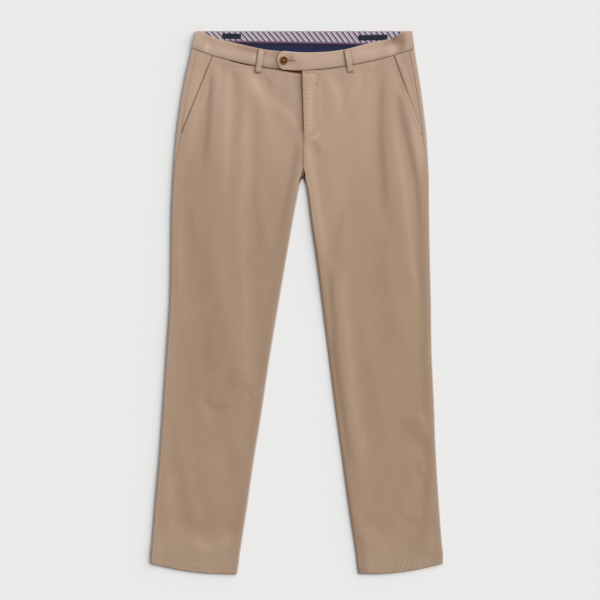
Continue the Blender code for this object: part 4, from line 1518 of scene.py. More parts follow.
@dataclass
class FrontPanel:
    """The front of one half, from pocket mouth and side seam to fly and inseam."""

    lie: LaidHalf
    gap: float = 0.3
    middle_columns: int = 88
    edge_steps: tuple[float, ...] = (0.0, 0.35, 0.8, 1.4, 2.2, 3.4, 5.0, 7.0, 9.2, 11.6)
    fly_step: float = 1.6
    fly_columns: int = 20
    hem_wall: float = 1.7
    fly_lap: float = 8.0
    fly_lift: float = 2.2
    coin_span: Pair = (-150.0, -90.0)
    coin_fade: float = 16.0
    coin_gape: float = 1.6
    tab_gape: float = 6.4
    sink: float = 1.5
    crotch_open: float = 2.2
    crotch_y: float = 271.0
    mouth_lift: float = 1.2
    rope_pitch: float = 12.5

    def build(self, finish: Any, shaded_twill: Any) -> Piece:
        """Build the panel.

        Args:
            finish: the upper skin's material.
            shaded_twill: the lower skin's material, a darker copy that paints shade.

        Returns:
            The panel.
        """
        lie, right, lines = self.lie, self.lie.right, self.lie.lines
        run = self.columns()
        outer, inner = run - run[:, :1], run[:, -1:] - run
        x, y = lines.at(run)
        if not right:
            x += self.crotch_open * np.exp(-(((y - self.crotch_y) / 9) ** 2) - inner / 9)
        z = lie.height(lines, x, y)
        sunk = self.sunk(x, travel(grid(x, y, z), 0)) * right
        z = z - self.sink * sunk + self.opened(x, y, outer)
        at_fly = ease(lie.fly_foot_y - 40, lie.fly_foot_y, lines.seam_y)
        turn, fly_turn = ((1.1, 0.3), (2.0, 0.7)) if right else ((0.9, 0.25), (7.0, 0.9))
        z = z - rolled(outer, *turn) - rolled(inner, *fly_turn) * at_fly
        z = z - rolled(inner, 1.2, 0.25) * (1 - at_fly)
        down = travel(grid(x, y, z), 0)
        up = down[-1] - down
        z = z - rolled(down, 3.6, 0.8) - rolled(up, 2.2, 0.8)
        z = z - 0.3 * bell(up - HEM_UP, 1.6) + self.rope(x, up)
        wall = lie.wall + (self.hem_wall - lie.wall) * (1 - ease(HEM_UP - 1, HEM_UP + 1, up))
        # Painted shade at the edges and seams, and dark brown where the waist edge sinks in under the tab.
        painted_shade = self.painted_edge_shade(x, y, outer, inner, down)
        painted_shade = painted_shade + np.maximum(1.15 * sunk - painted_shade, 0) * ease(0, 0.1, sunk)
        # Painted highlight just above the hem's stitching, and painted shade along the hem's edge.
        painted_shade = painted_shade - 0.15 * bell(up - HEM_UP - 0.8, 1.5) * (0.7 + 0.3 * np.sin(x / 19))
        painted_shade = painted_shade + 0.3 * bell(up, 1.8)
        # Painted sheen where the cloth turns at the side and, on the right, at the inner fold; a paler nap
        # towards the hem.
        sheen_and_nap = np.maximum(fold_sheen_at(run), 0.12 * (1 - ease(25, 80, up)))
        if right:
            sheen_and_nap = np.maximum(sheen_and_nap, fold_sheen_at(inner + lie.inseam_in) * lines.below_fork)
        sheet = Cloth(f"front_{lie.side}_cloth", grid(x, y, z), grid(x, y, z - wall), None, painted_shade, sheen_and_nap)
        return sheet.laid(finish, Slot.TWILL, [f"back_{lie.side}"], f"front_{lie.side}", shaded_twill)

    def columns(self) -> Array:
        """Place the panel's columns, close together at its edges.

        Returns:
            Each point's distance from the side fold.
        """
        lie, lines = self.lie, self.lie.lines
        inset = lie.front_inset(lines)
        on_seam = inset <= lie.seam_inset(lines.side_y) + 1e-6
        start = inset + np.where(on_seam, self.gap / 2, 0.0)
        end = lines.length - self.gap / 2
        near = far = np.array(self.edge_steps)
        if lie.right:
            lap = ease(lie.fly_foot_y, lie.fly_foot_y + 12, lines.seam_y)
            end = end + self.fly_lap * lap * (1 - lines.below_fork)
        else:
            far = np.concatenate([near, near[-1] + self.fly_step * np.arange(1, self.fly_columns + 1)])
        share = np.linspace(0, 1, self.middle_columns + 2)[None, 1:-1]
        first, last = start + near[-1], end - far[-1]
        middle = first + (last - first) * share
        return np.concatenate([start + near, middle, end - far[::-1]], axis=1)

    def opened(self, x: Array, y: Array, outer: Array) -> Array:
        """How far the fly's edge or the pocket's mouth stands up.

        Args:
            x: the points' X.
            y: the points' Y.
            outer: their distance from the side edge.

        Returns:
            The lift at each point.
        """
        lie = self.lie
        foot_y = lie.pocket.mouth_foot[1]
        below = lie.waist_y(x) - y
        if lie.right:
            mouth = ease(foot_y - 6, foot_y + 30, y) * ease(4, 30, below)
            return self.mouth_lift * mouth * (1 - np.clip(outer / 24, 0, 1)) ** 1.5
        near_edge = (1 - np.clip((x - lie.lines.seam_x) / 34, 0, 1)) ** 1.4
        along = 0.25 + 0.75 * ease(lie.fly_foot_y - 40, lie.fly_foot_y + 110, y)
        along = along * ease(lie.fly_foot_y - 40, lie.fly_foot_y + 10, y)
        return self.fly_lift * near_edge * along * ease(-2, 10, below)

    def rope(self, x: Array, up: Array) -> Array:
        """Slanting ripples of the turned-up hem.

        Args:
            x: the points' X.
            up: their distance from the hem's edge.

        Returns:
            The lift at each point.
        """
        rope = np.sin((x - up * 0.7) / self.rope_pitch * TURN + 1.5 * np.sin(x / 31.0))
        rope = rope * (0.6 + 0.4 * np.sin(x / 17.0 + 1.0))
        return (0.34 if self.lie.right else 0.58) * rope * bell(up - HEM_UP * 0.5, 7.0)

    def sunk(self, x: Array, down: Array) -> Array:
        """How far the waist edge sinks in under the tab and at the coin pocket.

        Args:
            x: the points' X.
            down: their distance from the waist edge.

        Returns:
            A share from 0 to 1 for each point.
        """
        low, high = self.coin_span
        coin = ease(low, low + self.coin_fade, x) * ease(-high, 6 - high, -x)
        tab = ease(-86, 12, x) ** 1.8
        reach = np.maximum(self.coin_gape * coin + self.tab_gape * tab, 0.01)
        deep = np.maximum(coin, ease(0, 0.25, tab))
        return deep * (1 - ease(0.75, 1.25, down / reach))

    def painted_edge_shade(
        self, x: Array, y: Array, outer: Array, inner: Array, down: Array
    ) -> Array:
        """Share of painted shade at edges and seams, beside the fly, at the crotch and under the loops'
        feet, with the painted shading patches.

        Args:
            x: the points' X.
            y: the points' Y.
            outer: their distance from the side edge.
            inner: their distance from the fly and inseam edge.
            down: their distance from the waist edge.

        Returns:
            A share for each point, below 0 where painted light makes it paler.
        """
        right = self.lie.right
        fly_y = self.lie.fly_foot_y
        foot_y = self.lie.pocket.mouth_foot[1]
        low = self.coin_span[0]
        at_fly = ease(fly_y - 10, fly_y + 10, y)
        # Painted shade along the pocket mouth's edge and the waist edge, deeper at the coin pocket.
        painted_shade = (0.28 * ease(foot_y - 8, foot_y, y) if right else 0.06) * bell(outer, 1.4)
        gape = 0.36 * right * ease(low, low + self.coin_fade, x)
        painted_shade = np.maximum(painted_shade, (0.40 + gape) * bell(down, 1.6 + 2 * gape))
        # Painted shadow that the fly's raised edge casts on the right front, and painted shade along the
        # fly's edge.
        if right:
            beside = np.abs(CENTRE_FRONT + 1.6 - x) / (3.0 + 3.6 * ease(395, 480, y))
            painted_shade = np.maximum(painted_shade, 0.9 * at_fly * np.exp(-beside))
        painted_shade = np.maximum(painted_shade, (0.35 if right else 0.12) * at_fly * bell(inner, 1.2))
        # Painted shade along the crotch seam, and on the left along the lower leg's inner edge.
        beside = np.abs(x - CENTRE_FRONT - 1.5) / 2.6
        painted_shade = np.maximum(painted_shade, 0.35 * ease(285, 300, y) * np.exp(-beside) * (y < fly_y))
        if not right:
            painted_shade = np.maximum(painted_shade, 0.24 * ease(-190, -70, -y) * bell(inner + 2, 7))
        # Painted shadow under each loop's foot.
        for place in LOOPS:
            across = (x - place.foot[0]) / 7.5
            below = (y - place.foot[1] + 0.6) / 2.2
            painted_shade = np.maximum(painted_shade, 0.6 * np.exp(-(across**4) - below**2))
        return painted_shade + painted_shading(x, y)


@dataclass
class BackPanel:
    """The back of one half: side seam, side fold, underside, inner fold, inseam."""

    lie: LaidHalf
    gap: float = 0.3
    hem_wall: float = 1.7
    arc_steps: int = 12
    settled: float = 1.6
    lip_shares: tuple[float, ...] = (0.0, 0.04, 0.1, 0.2, 0.4, 0.7)
    floor_shares: tuple[float, ...] = (0.02, 0.06, 0.15, 0.27, 0.4, 0.52, 0.65, 0.77, 0.88, 0.95)
    wedge_y: float = 266.0
    wedge_reach: float = 13.0
    wedge_depth: float = 3.0

    def arc(
        self, edge: Array, away: Array, base: Any, outer: Any, turns: Array, wall: Any
    ) -> tuple[Array, Array]:
        """Outer and inner points round a fold.

        Args:
            edge: the fold's outermost point on each line.
            away: the direction out of the cloth on each line.
            base: the underside's height on each line.
            outer: the fold's outer radius on each line.
            turns: angles from the underside, in radians.
            wall: the cloth's thickness on each line.

        Returns:
            Two grids of points with a column for each turn.
        """
        found = []
        centre = edge - away * outer
        up = ((1 - np.cos(turns)) / 2) ** self.settled
        for thick in (0 * wall, wall):
            x = centre[:, :1] + away[:, :1] * (outer - thick) * np.sin(turns)
            y = centre[:, 1:] + away[:, 1:] * (outer - thick) * np.sin(turns)
            found.append(grid(x, y, base + thick + 2 * (outer - thick) * up))
        return found[0], found[1]

    def build(self, finish: Any, shaded_twill: Any) -> Piece:
        """Build the panel.

        Args:
            finish: the upper skin's material.
            shaded_twill: the lower skin's material, a darker copy that paints shade.

        Returns:
            The panel.
        """
        lie, lines = self.lie, self.lie.lines
        side, seam, fold = lines.rows[:, :2], lines.rows[:, 2:4], lines.rows[:, 4:6]
        up = travel(side[:, None, :], 0)
        wall = np.where(up[-1] - up < HEM_UP, self.hem_wall, lie.wall)
        inset = lie.seam_inset(lines.side_y) - self.gap / 2
        run = inset + (lines.radius - inset) * np.array(self.lip_shares)
        x, y = lines.at(run)
        turned = 0.12 if lie.right else 0.5
        z = lie.height(lines, x, y) - rolled(inset - run, 1.6, turned) * (inset > 6)
        lip = grid(x, y, z)
        turns = np.linspace(math.pi, 0, self.arc_steps)[None, :]
        across = (seam - side) / lines.length
        outer_arc, inner_arc = self.arc(side, -across, lines.base, lines.radius, turns, wall)
        to_fold = fold - seam
        away = to_fold / np.maximum(np.hypot(*to_fold.T)[:, None], 1e-6)
        inner_radius = lie.inner_top(lines.fold_y) / 2
        inner_outer, inner_inner = self.arc(
            fold, away, lines.base * 0, inner_radius, turns[:, ::-1], wall
        )
        below = lines.below_fork > 0.5
        start = outer_arc[:, -1]
        end = np.where(below, inner_outer[:, 0], np.concatenate([fold, lines.base], axis=1))
        share = np.array(self.floor_shares)[None, :, None]
        floor = start[:, None] + (end - start)[:, None] * share
        floor[..., 1] -= lines.bow * 4 * share[..., 0] * (1 - share[..., 0]) * lines.below_fork
        inner_outer[:, 0] = end
        inner_inner[:, 0] = lifted(end, wall[:, 0])
        lip_end = np.concatenate([seam, inner_outer[:, -1, 2:]], axis=1)[:, None]
        lip_end[..., 0] -= lie.half.value * self.gap / 2
        upper = np.concatenate([lip, outer_arc, floor, inner_outer, lip_end], axis=1)
        lowered = (lifted(lip, -wall), inner_arc, lifted(floor, wall), inner_inner, lifted(lip_end, -wall))
        lower = np.concatenate(lowered, axis=1)
        first = lip.shape[1]
        last = first + self.arc_steps + floor.shape[1]
        used = np.ones((upper.shape[0] - 1, upper.shape[1] - 1), bool)
        used[~below[:-1, 0], last:] = False
        painted_shade = np.zeros(upper.shape[:2])
        sheen_and_nap = np.zeros(upper.shape[:2])
        # Painted shading patches on the lip, and painted sheen where the folds turn.
        painted_shade[:, :first] = painted_shading(x, y)
        sheen_and_nap[:, :first] = fold_sheen_at(run)
        sheen_and_nap[:, first : first + self.arc_steps] = FOLD_SHEEN
        pit = np.exp(-(((upper[:, last:, 1] - self.wedge_y) / self.wedge_reach) ** 4))
        # On the right, the side fold's turn away from the light is painted lighter, and the inner fold gets
        # painted sheen.
        if lie.right:
            painted_shade[:, first : first + self.arc_steps] = -0.35 * np.sin(turns) ** 0.5
            sheen_and_nap[:, last:] = FOLD_SHEEN
        # Painted shade on the inner fold, deep in the crotch's hollow.
        painted_shade[:, last:] = np.maximum(pit, 0.0 if lie.right else 0.1)
        for skin in (upper, lower):
            skin[:, last:, 2] -= self.wedge_depth * pit * (skin[:, last:, 2] > 3.5)
        sheet = Cloth(f"back_{lie.side}_cloth", upper, lower, used, painted_shade, sheen_and_nap)
        return sheet.laid(finish, Slot.TWILL, ["floor"], f"back_{lie.side}", shaded_twill)


@dataclass
class PocketFacing:
    """The shell-cloth facing between a slant pocket's mouth and the side seam."""

    lie: LaidHalf
    lap: float = 11.0
    drop: float = 1.75
    left_groove: float = 3.2
    right_groove: float = 1.4
    swell: float = 0.35
    gap: float = 0.3
    columns: int = 34

    def build(self, finish: Any, shaded_twill: Any) -> Piece:
        """Build the facing.

        Args:
            finish: the upper skin's material.
            shaded_twill: the lower skin's material, a darker copy that paints shade.

        Returns:
            The facing.
        """
        lie, left = self.lie, not self.lie.right
        count = int((lie.lines.side_y[:, 0] > lie.pocket.mouth_foot[1]).sum())
        lines = CrossLines(lie.lines.rows[:count])
        seam = lie.seam_inset(lines.side_y) + self.gap / 2
        mouth = lie.front_inset(lines)
        run = seam + (mouth + self.lap - seam) * np.linspace(0, 1, self.columns)[None, :] ** 1.15
        x, y = lines.at(run)
        reach = np.maximum(mouth - seam, 1.0)
        groove = np.minimum(self.left_groove, reach * 0.7) if left else self.right_groove
        closing = 1 - ease(2, 8, mouth - seam)
        depth = np.maximum(ease(mouth - groove, mouth - 0.6, run), closing)
        swell = bell(run - mouth + groove + 2.5, 3.5) * ease(8, 20, reach)
        held = 0.3 + 0.7 * ease(425, 485, y) if left else 1.25
        z = lie.height(lines, x, y) - self.drop * depth * held
        z = z - rolled(run - seam, 1.6, 0.4 if left else 0.1)
        z = z + self.swell * swell * (1 - depth) * left
        # Painted shade in the shadow at the mouth and along the left's side seam, with the painted shading
        # patches on the left.
        painted_shade = (0.6 * ease(425, 480, y) if left else 0.5) * bell(mouth - run, 1.9)
        painted_shade = np.maximum(painted_shade, 0.3 * left * bell(run - seam, 1.0))
        painted_shade = painted_shade + painted_shading(x, y) * left
        node = f"pocket_facing_{lie.side}"
        sheet = Cloth(f"{node}_cloth", grid(x, y, z), grid(x, y, z - lie.wall), painted_shade=painted_shade)
        return sheet.laid(finish, Slot.TWILL, [f"back_{lie.side}"], node, shaded_twill)


@dataclass(frozen=True)
class BandPoint:
    """One place along the band's front run: its seam, top edge and heights."""

    name: str
    seam_x: float
    top: Point
    seam_z: float
    top_z: float

    def row(self) -> list[float]:
        """The place's sizes as one row."""
        return [self.seam_x, *self.top, self.seam_z, self.top_z]


BAND_RIGHT = (
    BandPoint("side fold", -221.1, (-211.7, 571.2), 8.0, 8.0),
    BandPoint("top turns in", -203.0, (-200.0, 570.2), 8.0, 8.2),
    BandPoint("corner", -190.0, (-189.2, 564.3), 8.0, 8.2),
    BandPoint("over pocket", -175.4, (-173.9, 556.5), 8.0, 8.2),
    BandPoint("hip", -151.2, (-150.8, 550.8), 7.9, 8.1),
    BandPoint("coin pocket", -118.7, (-118.9, 543.5), 7.8, 8.0),
    BandPoint("loop", -78.8, (-77.5, 534.5), 7.4, 7.6),
    BandPoint("under tab", -47.0, (-46.0, 530.0), 6.9, 6.9),
    BandPoint("centre front", -6.0, (-6.0, 527.0), 6.9, 6.9),
    BandPoint("end", 34.7, (34.7, 526.0), 6.9, 6.9),
)

BAND_LEFT = (
    BandPoint("side fold", 247.6, (242.6, 571.2), 8.0, 8.0),
    BandPoint("top turns in", 230.0, (225.5, 570.0), 8.0, 8.2),
    BandPoint("corner", 216.0, (211.1, 561.8), 8.0, 8.2),
    BandPoint("over pocket", 196.0, (190.9, 553.8), 8.0, 8.2),
    BandPoint("hip", 168.0, (164.2, 548.5), 8.0, 8.2),
    BandPoint("outside loop", 136.0, (134.2, 541.0), 8.0, 8.3),
    BandPoint("loop", 101.0, (101.0, 532.6), 8.2, 8.5),
    BandPoint("inside loop", 63.6, (63.6, 527.5), 8.8, 8.9),
    BandPoint("centre front", 15.3, (15.3, 526.0), 8.9, 8.9),
    BandPoint("root of tab end", -26.7, (-26.7, 528.9), 8.9, 8.9),
)


@dataclass(frozen=True)
class LoopPlace:
    """Where a front belt loop's two ends are sewn."""

    node: str
    top: Point
    foot: Point
    start_z: float

    def ways(self) -> tuple[Array, Array]:
        """Find the loop's directions.

        Returns:
            The directions along it from its top, and across it.
        """
        along = np.array(self.foot) - np.array(self.top)
        along = along / np.hypot(*along)
        return along, np.array([-along[1], along[0]])


LOOPS = (
    LoopPlace("belt_loop_front_right", (-74.3, 533.2), (-81.4, 484.7), 7.6),
    LoopPlace("belt_loop_front_left", (104.6, 532.4), (113.2, 485.3), 8.6),
)


# Patches of painted shade and painted light on the band's front run.
RIGHT_BAND_SHADE = (
    ShadePatch((-87, 513), (5, 11), -0.38),
    ShadePatch((-190, 533), (9, 9), -0.18),
    ShadePatch((-172, 520), (9, 6), -0.18),
)
LEFT_BAND_SHADE = (
    ShadePatch((204, 557), (10, 14), 0.66),
    ShadePatch((221, 550), (9, 20), 0.55),
    ShadePatch((206, 536), (9, 9), -0.26),
    ShadePatch((188, 546), (8, 8), 0.38),
    ShadePatch((150, 524), (26, 8), -0.12),
    ShadePatch((-12, 511), (8, 11), 0.42),
    ShadePatch((3, 500), (9, 13), 0.22),
)


@dataclass
class Waistband:
    """One half of the band: back run, side fold and front run, with the tab on the left."""

    lie: LaidHalf
    wall: float = 1.4
    gap: float = 0.4
    under_z: float = 1.5
    fold_z: float = 8.0
    top_y: float = 571.2
    crown: float = 0.5
    front_steps: int = 22
    back_steps: int = 13
    arc_steps: int = 12
    tab_length: float = 14.7
    tab_turns: tuple[float, ...] = (10, 20, 30, 40, 50, 59, 67, 74, 80, 84, 87)
    tab_rise: float = 2.9
    tab_lift: float = 1.3
    hollow: float = 1.2
    bulge: float = 0.9
    loop_channel: float = 0.8
    corner_fold: float = 1.6
    corner_ridge: float = 0.8
    edge_sheen: float = 0.45
    slit_x: Pair = (-23.0, -3.6)
    slit_y: float = 508.0
    slit_width: float = 0.7
    shares: tuple[float, ...] = (
        0.0, 0.008, 0.02, 0.04, 0.07, 0.12, 0.2, 0.3, 0.4, 0.5,
        0.6, 0.7, 0.8, 0.88, 0.93, 0.96, 0.98, 0.992, 1.0,
    )

    def front_run(self) -> tuple[Array, Array]:
        """Place the band's edges along the front, from the side fold inwards.

        Returns:
            The seam's points and the top edge's.
        """
        rows = BAND_RIGHT if self.lie.right else BAND_LEFT
        dense = smooth_rows(np.array([place.row() for place in rows]), self.front_steps)
        seam_x, top_x, top_y, seam_z, top_z = dense.T
        seam = grid(seam_x, self.lie.waist_y(seam_x) + self.gap, seam_z)
        top = grid(top_x, top_y, top_z)
        if self.lie.right:
            beyond = seam_x > CENTRE_FRONT
            seam[beyond, 1] = LEFT_LIE.waist_y(seam_x[beyond]) + self.gap
            return seam, top
        seam[:, 1] += self.tab_rise * np.clip((CENTRE_FRONT - seam_x) / 38.0, 0, 1)
        end_seam, end_top = self.tab_end(seam[-1], top[-1])
        return np.concatenate([seam, end_seam]), np.concatenate([top, end_top])

    def tab_end(self, seam: Array, top: Array) -> tuple[Array, Array]:
        """Round the tab's end.

        Args:
            seam: the last point of the straight seam.
            top: the last point of the straight top edge.

        Returns:
            Seam and top points that close in on each other.
        """
        turns = np.radians(self.tab_turns)[:, None]
        middle = (seam + top) / 2
        half = (top - seam) / 2
        reach = np.concatenate([-self.tab_length * np.sin(turns), turns * 0, turns * 0], axis=1)
        return middle + reach - half * np.cos(turns), middle + reach + half * np.cos(turns)

    def behind(self, seam: Array, top: Array) -> tuple[Array, Array]:
        """Place the band's back run and its side fold.

        Args:
            seam: the front run's first seam point.
            top: its first top point.

        Returns:
            The outer and the inner face's points.
        """
        sign = self.lie.half.value
        radius = (self.fold_z - self.under_z) / 2
        share = np.array(self.shares)[:, None]
        low = np.array([seam[0], self.lie.table[0, 1] + self.gap])
        edge = low + (top[:2] - low) * share
        centre_x, start_y = self.lie.table[0, 4:6] + (0.0, self.gap)
        step = np.linspace(0, 1, self.back_steps + 1)[None, :-1]
        x = centre_x + (edge[:, :1] - sign * radius - centre_x) * step
        base_y = start_y + (self.top_y - start_y) * share
        back = grid(x, base_y + (edge[:, 1:] - base_y) * step, self.under_z)
        turns = np.linspace(0, math.pi, self.arc_steps)[None, :]
        skins = []
        for thick in (0.0, self.wall):
            x = edge[:, :1] - sign * radius + sign * (radius - thick) * np.sin(turns)
            z = self.under_z + radius - (radius - thick) * np.cos(turns)
            skins.append(np.concatenate([lifted(back, thick), grid(x, edge[:, 1:], z)], axis=1))
        return skins[0], skins[1]

    def relief(self, run: Array, up: Array, down: Array) -> Array:
        """Crown, ripples, rolled edges and hollows of the front run.

        Args:
            run: the run's points.
            up: their distance from the seam.
            down: their distance from the top edge.

        Returns:
            The lift at each point.
        """
        x, y = run[..., 0], run[..., 1]
        dome = np.sin(math.pi * np.array(self.shares)[:, None])
        slant = np.sin((x * 0.8 + y * 0.5) / 5.3 + 1.5 * np.sin(x / 33.0))
        wave = 0.12 * np.sin(x / 21.0 + 1.2) + 0.10 * slant
        wave = wave + 0.07 * np.sin((x * 0.3 - y) / 2.9 + 2.0 * np.sin(x / 24.0))
        lift = self.crown * dome + wave * dome - rolled(up, 9.0, 1.7) - rolled(down, 2.6, 0.8)
        if not self.lie.right:
            to_end = travel(run, 1)[:, -1:] - travel(run, 1)
            at_end = np.arange(run.shape[1]) > run.shape[1] - 24
            lift = lift - rolled(to_end, 2.0, 0.6) * at_end
        for place in LOOPS:
            away = Line((place.top, place.foot), 2).nearest(x, y)[0]
            lift = lift - self.loop_channel * bell(np.abs(away) - 7.2, 1.5)
        if self.lie.right:
            lift = lift + self.corner_ridge * bell(x + 192 - 0.2 * (y - 540), 7)
            return lift + self.bulge * ease(-55, -40, x)
        lift = lift - self.corner_fold * bell(x - 202 + 0.25 * (y - 540), 12)
        lift = lift + self.tab_lift * (1 - ease(-24, 14, x))
        return lift - self.hollow * np.exp(-((x + 21.0) ** 2 / 150 + (y - 508.5) ** 2 / 100))

    def build(self, finish: Any, shaded_twill: Any) -> Piece:
        """Build the half band.

        Args:
            finish: the outer face's material.
            shaded_twill: the inner face's material, a darker copy that paints shade.

        Returns:
            The half band.
        """
        seam, top = self.front_run()
        share = np.array(self.shares)[:, None]
        run = seam[None, 1:] + (top - seam)[None, 1:] * share[:, :, None]
        size = np.linalg.norm(top - seam, axis=1)[None, 1:]
        up, down = share * size, (1 - share) * size
        run[..., 2] += self.relief(run, up, down)
        outer, inner = self.behind(seam[0], top[0])
        outer = np.concatenate([outer, run], axis=1)
        inner = np.concatenate([inner, run - (0, 0, self.wall)], axis=1)
        painted_shade = np.zeros(outer.shape[:2])
        sheen_and_nap = np.zeros(outer.shape[:2])
        # Painted shade on the front run; on the left, a painted highlight along the top edge.
        painted_shade[:, -run.shape[1] :] = self.shading(run, up, down)
        if not self.lie.right:
            sheen_and_nap[:, -run.shape[1] :] = self.edge_sheen * bell(down, 1.7)
        node = f"waistband_{self.lie.side}"
        sheet = Cloth(f"{node}_cloth", outer, inner, painted_shade=painted_shade, sheen_and_nap=sheen_and_nap)
        found = sheet.made(finish, shaded_twill)
        if not self.lie.right:
            self.cut_slit(found)
        dressed(found, Slot.TWILL, node)
        sheet.declare()
        return found

    def shading(self, run: Array, up: Array, down: Array) -> Array:
        """Share of painted shade on the front run: at the seam, in creases, at the corners, beside the
        tab's end and round the button.

        Args:
            run: the run's points.
            up: their distance from the seam.
            down: their distance from the top edge.

        Returns:
            A share for each point, below 0 where painted light makes it paler.
        """
        x, y = run[..., 0], run[..., 1]
        painted_shade = 0.35 * bell(up, 1.8) + 0.1 * bell(up, 12)
        if not self.lie.right:
            painted_shade = painted_shade * (1 - 0.85 * (1 - ease(-8, 16, x))) + 0.03 * bell(down, 8)
            return painted_shade + sum(patch.at(x, y) for patch in LEFT_BAND_SHADE)
        beyond = (np.hypot((x + 26.7) / 14.7, (y - 508.7) / 20.3) - 1) * 16
        crease_shade = 0.75 + 0.35 * np.sin(x / 17 + 1.2)
        painted_shade = painted_shade + 0.34 * bell(down - 7, 6.5) * crease_shade * ease(-195, -183, x)
        painted_shade = painted_shade - 0.05 * bell(down - 24, 4.5) + 0.12 * ease(-140, -70, x)
        painted_shade = painted_shade + sum(patch.at(x, y) for patch in RIGHT_BAND_SHADE)
        return painted_shade + 0.45 * np.exp(-np.clip(beyond, 0, None) / 4.5) * (x < -20)

    def cut_slit(self, band: Piece) -> None:
        """Cut the buttonhole's slit through the tab.

        Args:
            band: the half band with the tab.
        """
        ends = np.array(self.slit_x)[None, :]
        sides = self.slit_y + self.slit_width * np.array((-0.5, 0.5))[:, None]
        corners = grid(ends, sides, 12.6)
        carve(band, Cloth("slit_cutter", corners, corners - (0, 0, 4.6)).made(None))


LEFT_INNER_TOPS = (
    (-560.0, 3.6), (-500.0, 4.0), (-440.0, 4.8), (-380.0, 4.6), (-320.0, 3.8), (-80.0, 3.8), (0.0, 4.6),
    (70.0, 6.2), (130.0, 6.7), (300.0, 6.7),
)
LEFT_LIE = LaidHalf(Half.LEFT, inner_tops=LEFT_INNER_TOPS)
RIGHT_LIE = LaidHalf(Half.RIGHT)


@dataclass
class BandLining:
    """The inside of the back band: striped facing, piping, curtain and labels."""

    under_z: float = 3.4
    thickness: float = 0.6
    span: Pair = (-205.0, 236.0)
    curtain_span: Pair = (-160.0, 174.0)
    top_y: float = 570.2
    foot_y: Pair = (553.0, 545.4)
    curtain_y: float = 513.0
    piping_width: float = 3.5
    piping_height: float = 1.7
    piping_lip: float = 0.2
    label_wall: float = 0.45
    gap: float = 0.3

    def foot(self, x: Array) -> Array:
        """The facing's lower edge at each X."""
        share = (x - self.span[0]) / (self.span[1] - self.span[0])
        return self.foot_y[0] + (self.foot_y[1] - self.foot_y[0]) * share

    def strip(self, name: str, span: Pair, drop: Pair) -> Cloth:
        """A strip along the band, between two lines below its top or foot.

        Args:
            name: the piece's name.
            span: its two ends along X.
            drop: how far its upper edge lies under the facing's foot, or 0 for the
                band's top, and the Y of its lower edge, or 0 for the facing's foot.

        Returns:
            The strip as cloth.
        """
        x = np.linspace(*span, 110)[None, :]
        share = np.linspace(0, 1, 15)[:, None] ** 1.1
        upper_y = self.foot(x) - drop[0] if drop[0] else x * 0 + self.top_y
        lower_y = x * 0 + drop[1] if drop[1] else self.foot(x)
        y = upper_y + (lower_y - upper_y) * share
        wave = 0.14 * np.sin(x / 9.5 + 0.6 * np.sin(x / 37.0)) + 0.10 * np.sin(x / 4.3 + y / 6.0)
        depth = (upper_y - y) * (y - lower_y) / ((upper_y - lower_y) / 2) ** 2
        z = self.under_z + self.thickness + 0.35 + wave * (0.3 + 0.7 * depth)
        z = z - rolled(upper_y - y, 1.2, 0.3)
        # Painted shade: darker towards the strip's upper edge, in uneven upright streaks; only the
        # curtain's material reads it.
        streaks = 0.5 + 0.3 * np.sin(x / 5.1 + np.sin(x / 17.0)) + 0.2 * np.sin(x / 2.9)
        painted_shade = np.clip(1 - (upper_y - y) / 16 + 0.35 * (streaks - 0.5), 0, 1)
        return Cloth(name, grid(x, y, z), grid(x, y, z - self.thickness), painted_shade=painted_shade)

    def build(self, stripe: Any, piping: Any, curtain: Any, label: Any) -> None:
        """Build the lining's pieces.

        Args:
            stripe: the facing's material.
            piping: the piping's material.
            curtain: the curtain's material.
            label: the labels' material.
        """
        facing = self.strip("band_facing_cloth", self.span, (0.0, 0.0))
        facing.laid(stripe, Slot.STRIPE, ["waistband_right", "waistband_left"], "band_facing")
        below = self.piping_width + 2 * self.gap
        hanging = self.strip("band_curtain_cloth", self.curtain_span, (below, self.curtain_y))
        hanging.laid(curtain, Slot.CURTAIN, ["back_right", "back_left"], "band_curtain")
        dressed(self.cord_piping().made(piping), Slot.PIPING, "facing_piping")
        for node, centre, size, turn in (
            ("label_small", (-136.5, 560.6), (39.0, 11.0), -1.5),
            ("label_large", (160.5, 557.8), (61.0, 11.4), 1.2),
        ):
            self.label(node, centre, size, turn).laid(label, Slot.LABEL, ["band_facing"], node)

    def cord_piping(self) -> Cloth:
        """The rounded piping between the facing and the curtain.

        Returns:
            The piping as cloth.
        """
        x = np.linspace(*self.span, 150)[None, :]
        turn = np.linspace(0, math.pi, 11)[:, None]
        y = self.foot(x) - self.gap - self.piping_width / 2 * (1 - np.cos(turn))
        rise = (self.piping_height - self.piping_lip) * np.sin(turn)
        upper = grid(x, y, self.under_z + self.piping_lip + rise)
        return Cloth("facing_piping_cloth", upper, grid(x, y, self.under_z))

    def label(self, node: str, centre: Point, size: Point, turn: float) -> Cloth:
        """A bare woven label that lies on the facing, with folded ends.

        Args:
            node: the solid that it stands for.
            centre: its middle.
            size: its length and its height.
            turn: its slant in degrees.

        Returns:
            The label as cloth.
        """
        along = np.linspace(-0.5, 0.5, 25)[None, :]
        up = np.linspace(0.5, -0.5, 11)[:, None]
        cosine = math.cos(math.radians(turn))
        sine = math.sin(math.radians(turn))
        x = centre[0] + along * size[0] * cosine - up * size[1] * sine
        y = centre[1] + along * size[0] * sine + up * size[1] * cosine
        z = self.under_z + 2 * self.thickness + 0.85 + 0.10 * np.sin(x / 7.0) * np.sin(y / 3.0)
        z = z - rolled((0.5 - np.abs(along)) * size[0], 1.0, 0.25)
        z = z - rolled((0.5 - np.abs(up)) * size[1], 0.8, 0.2)
        return Cloth(f"{node}_cloth", grid(x, y, z), grid(x, y, z - self.label_wall))


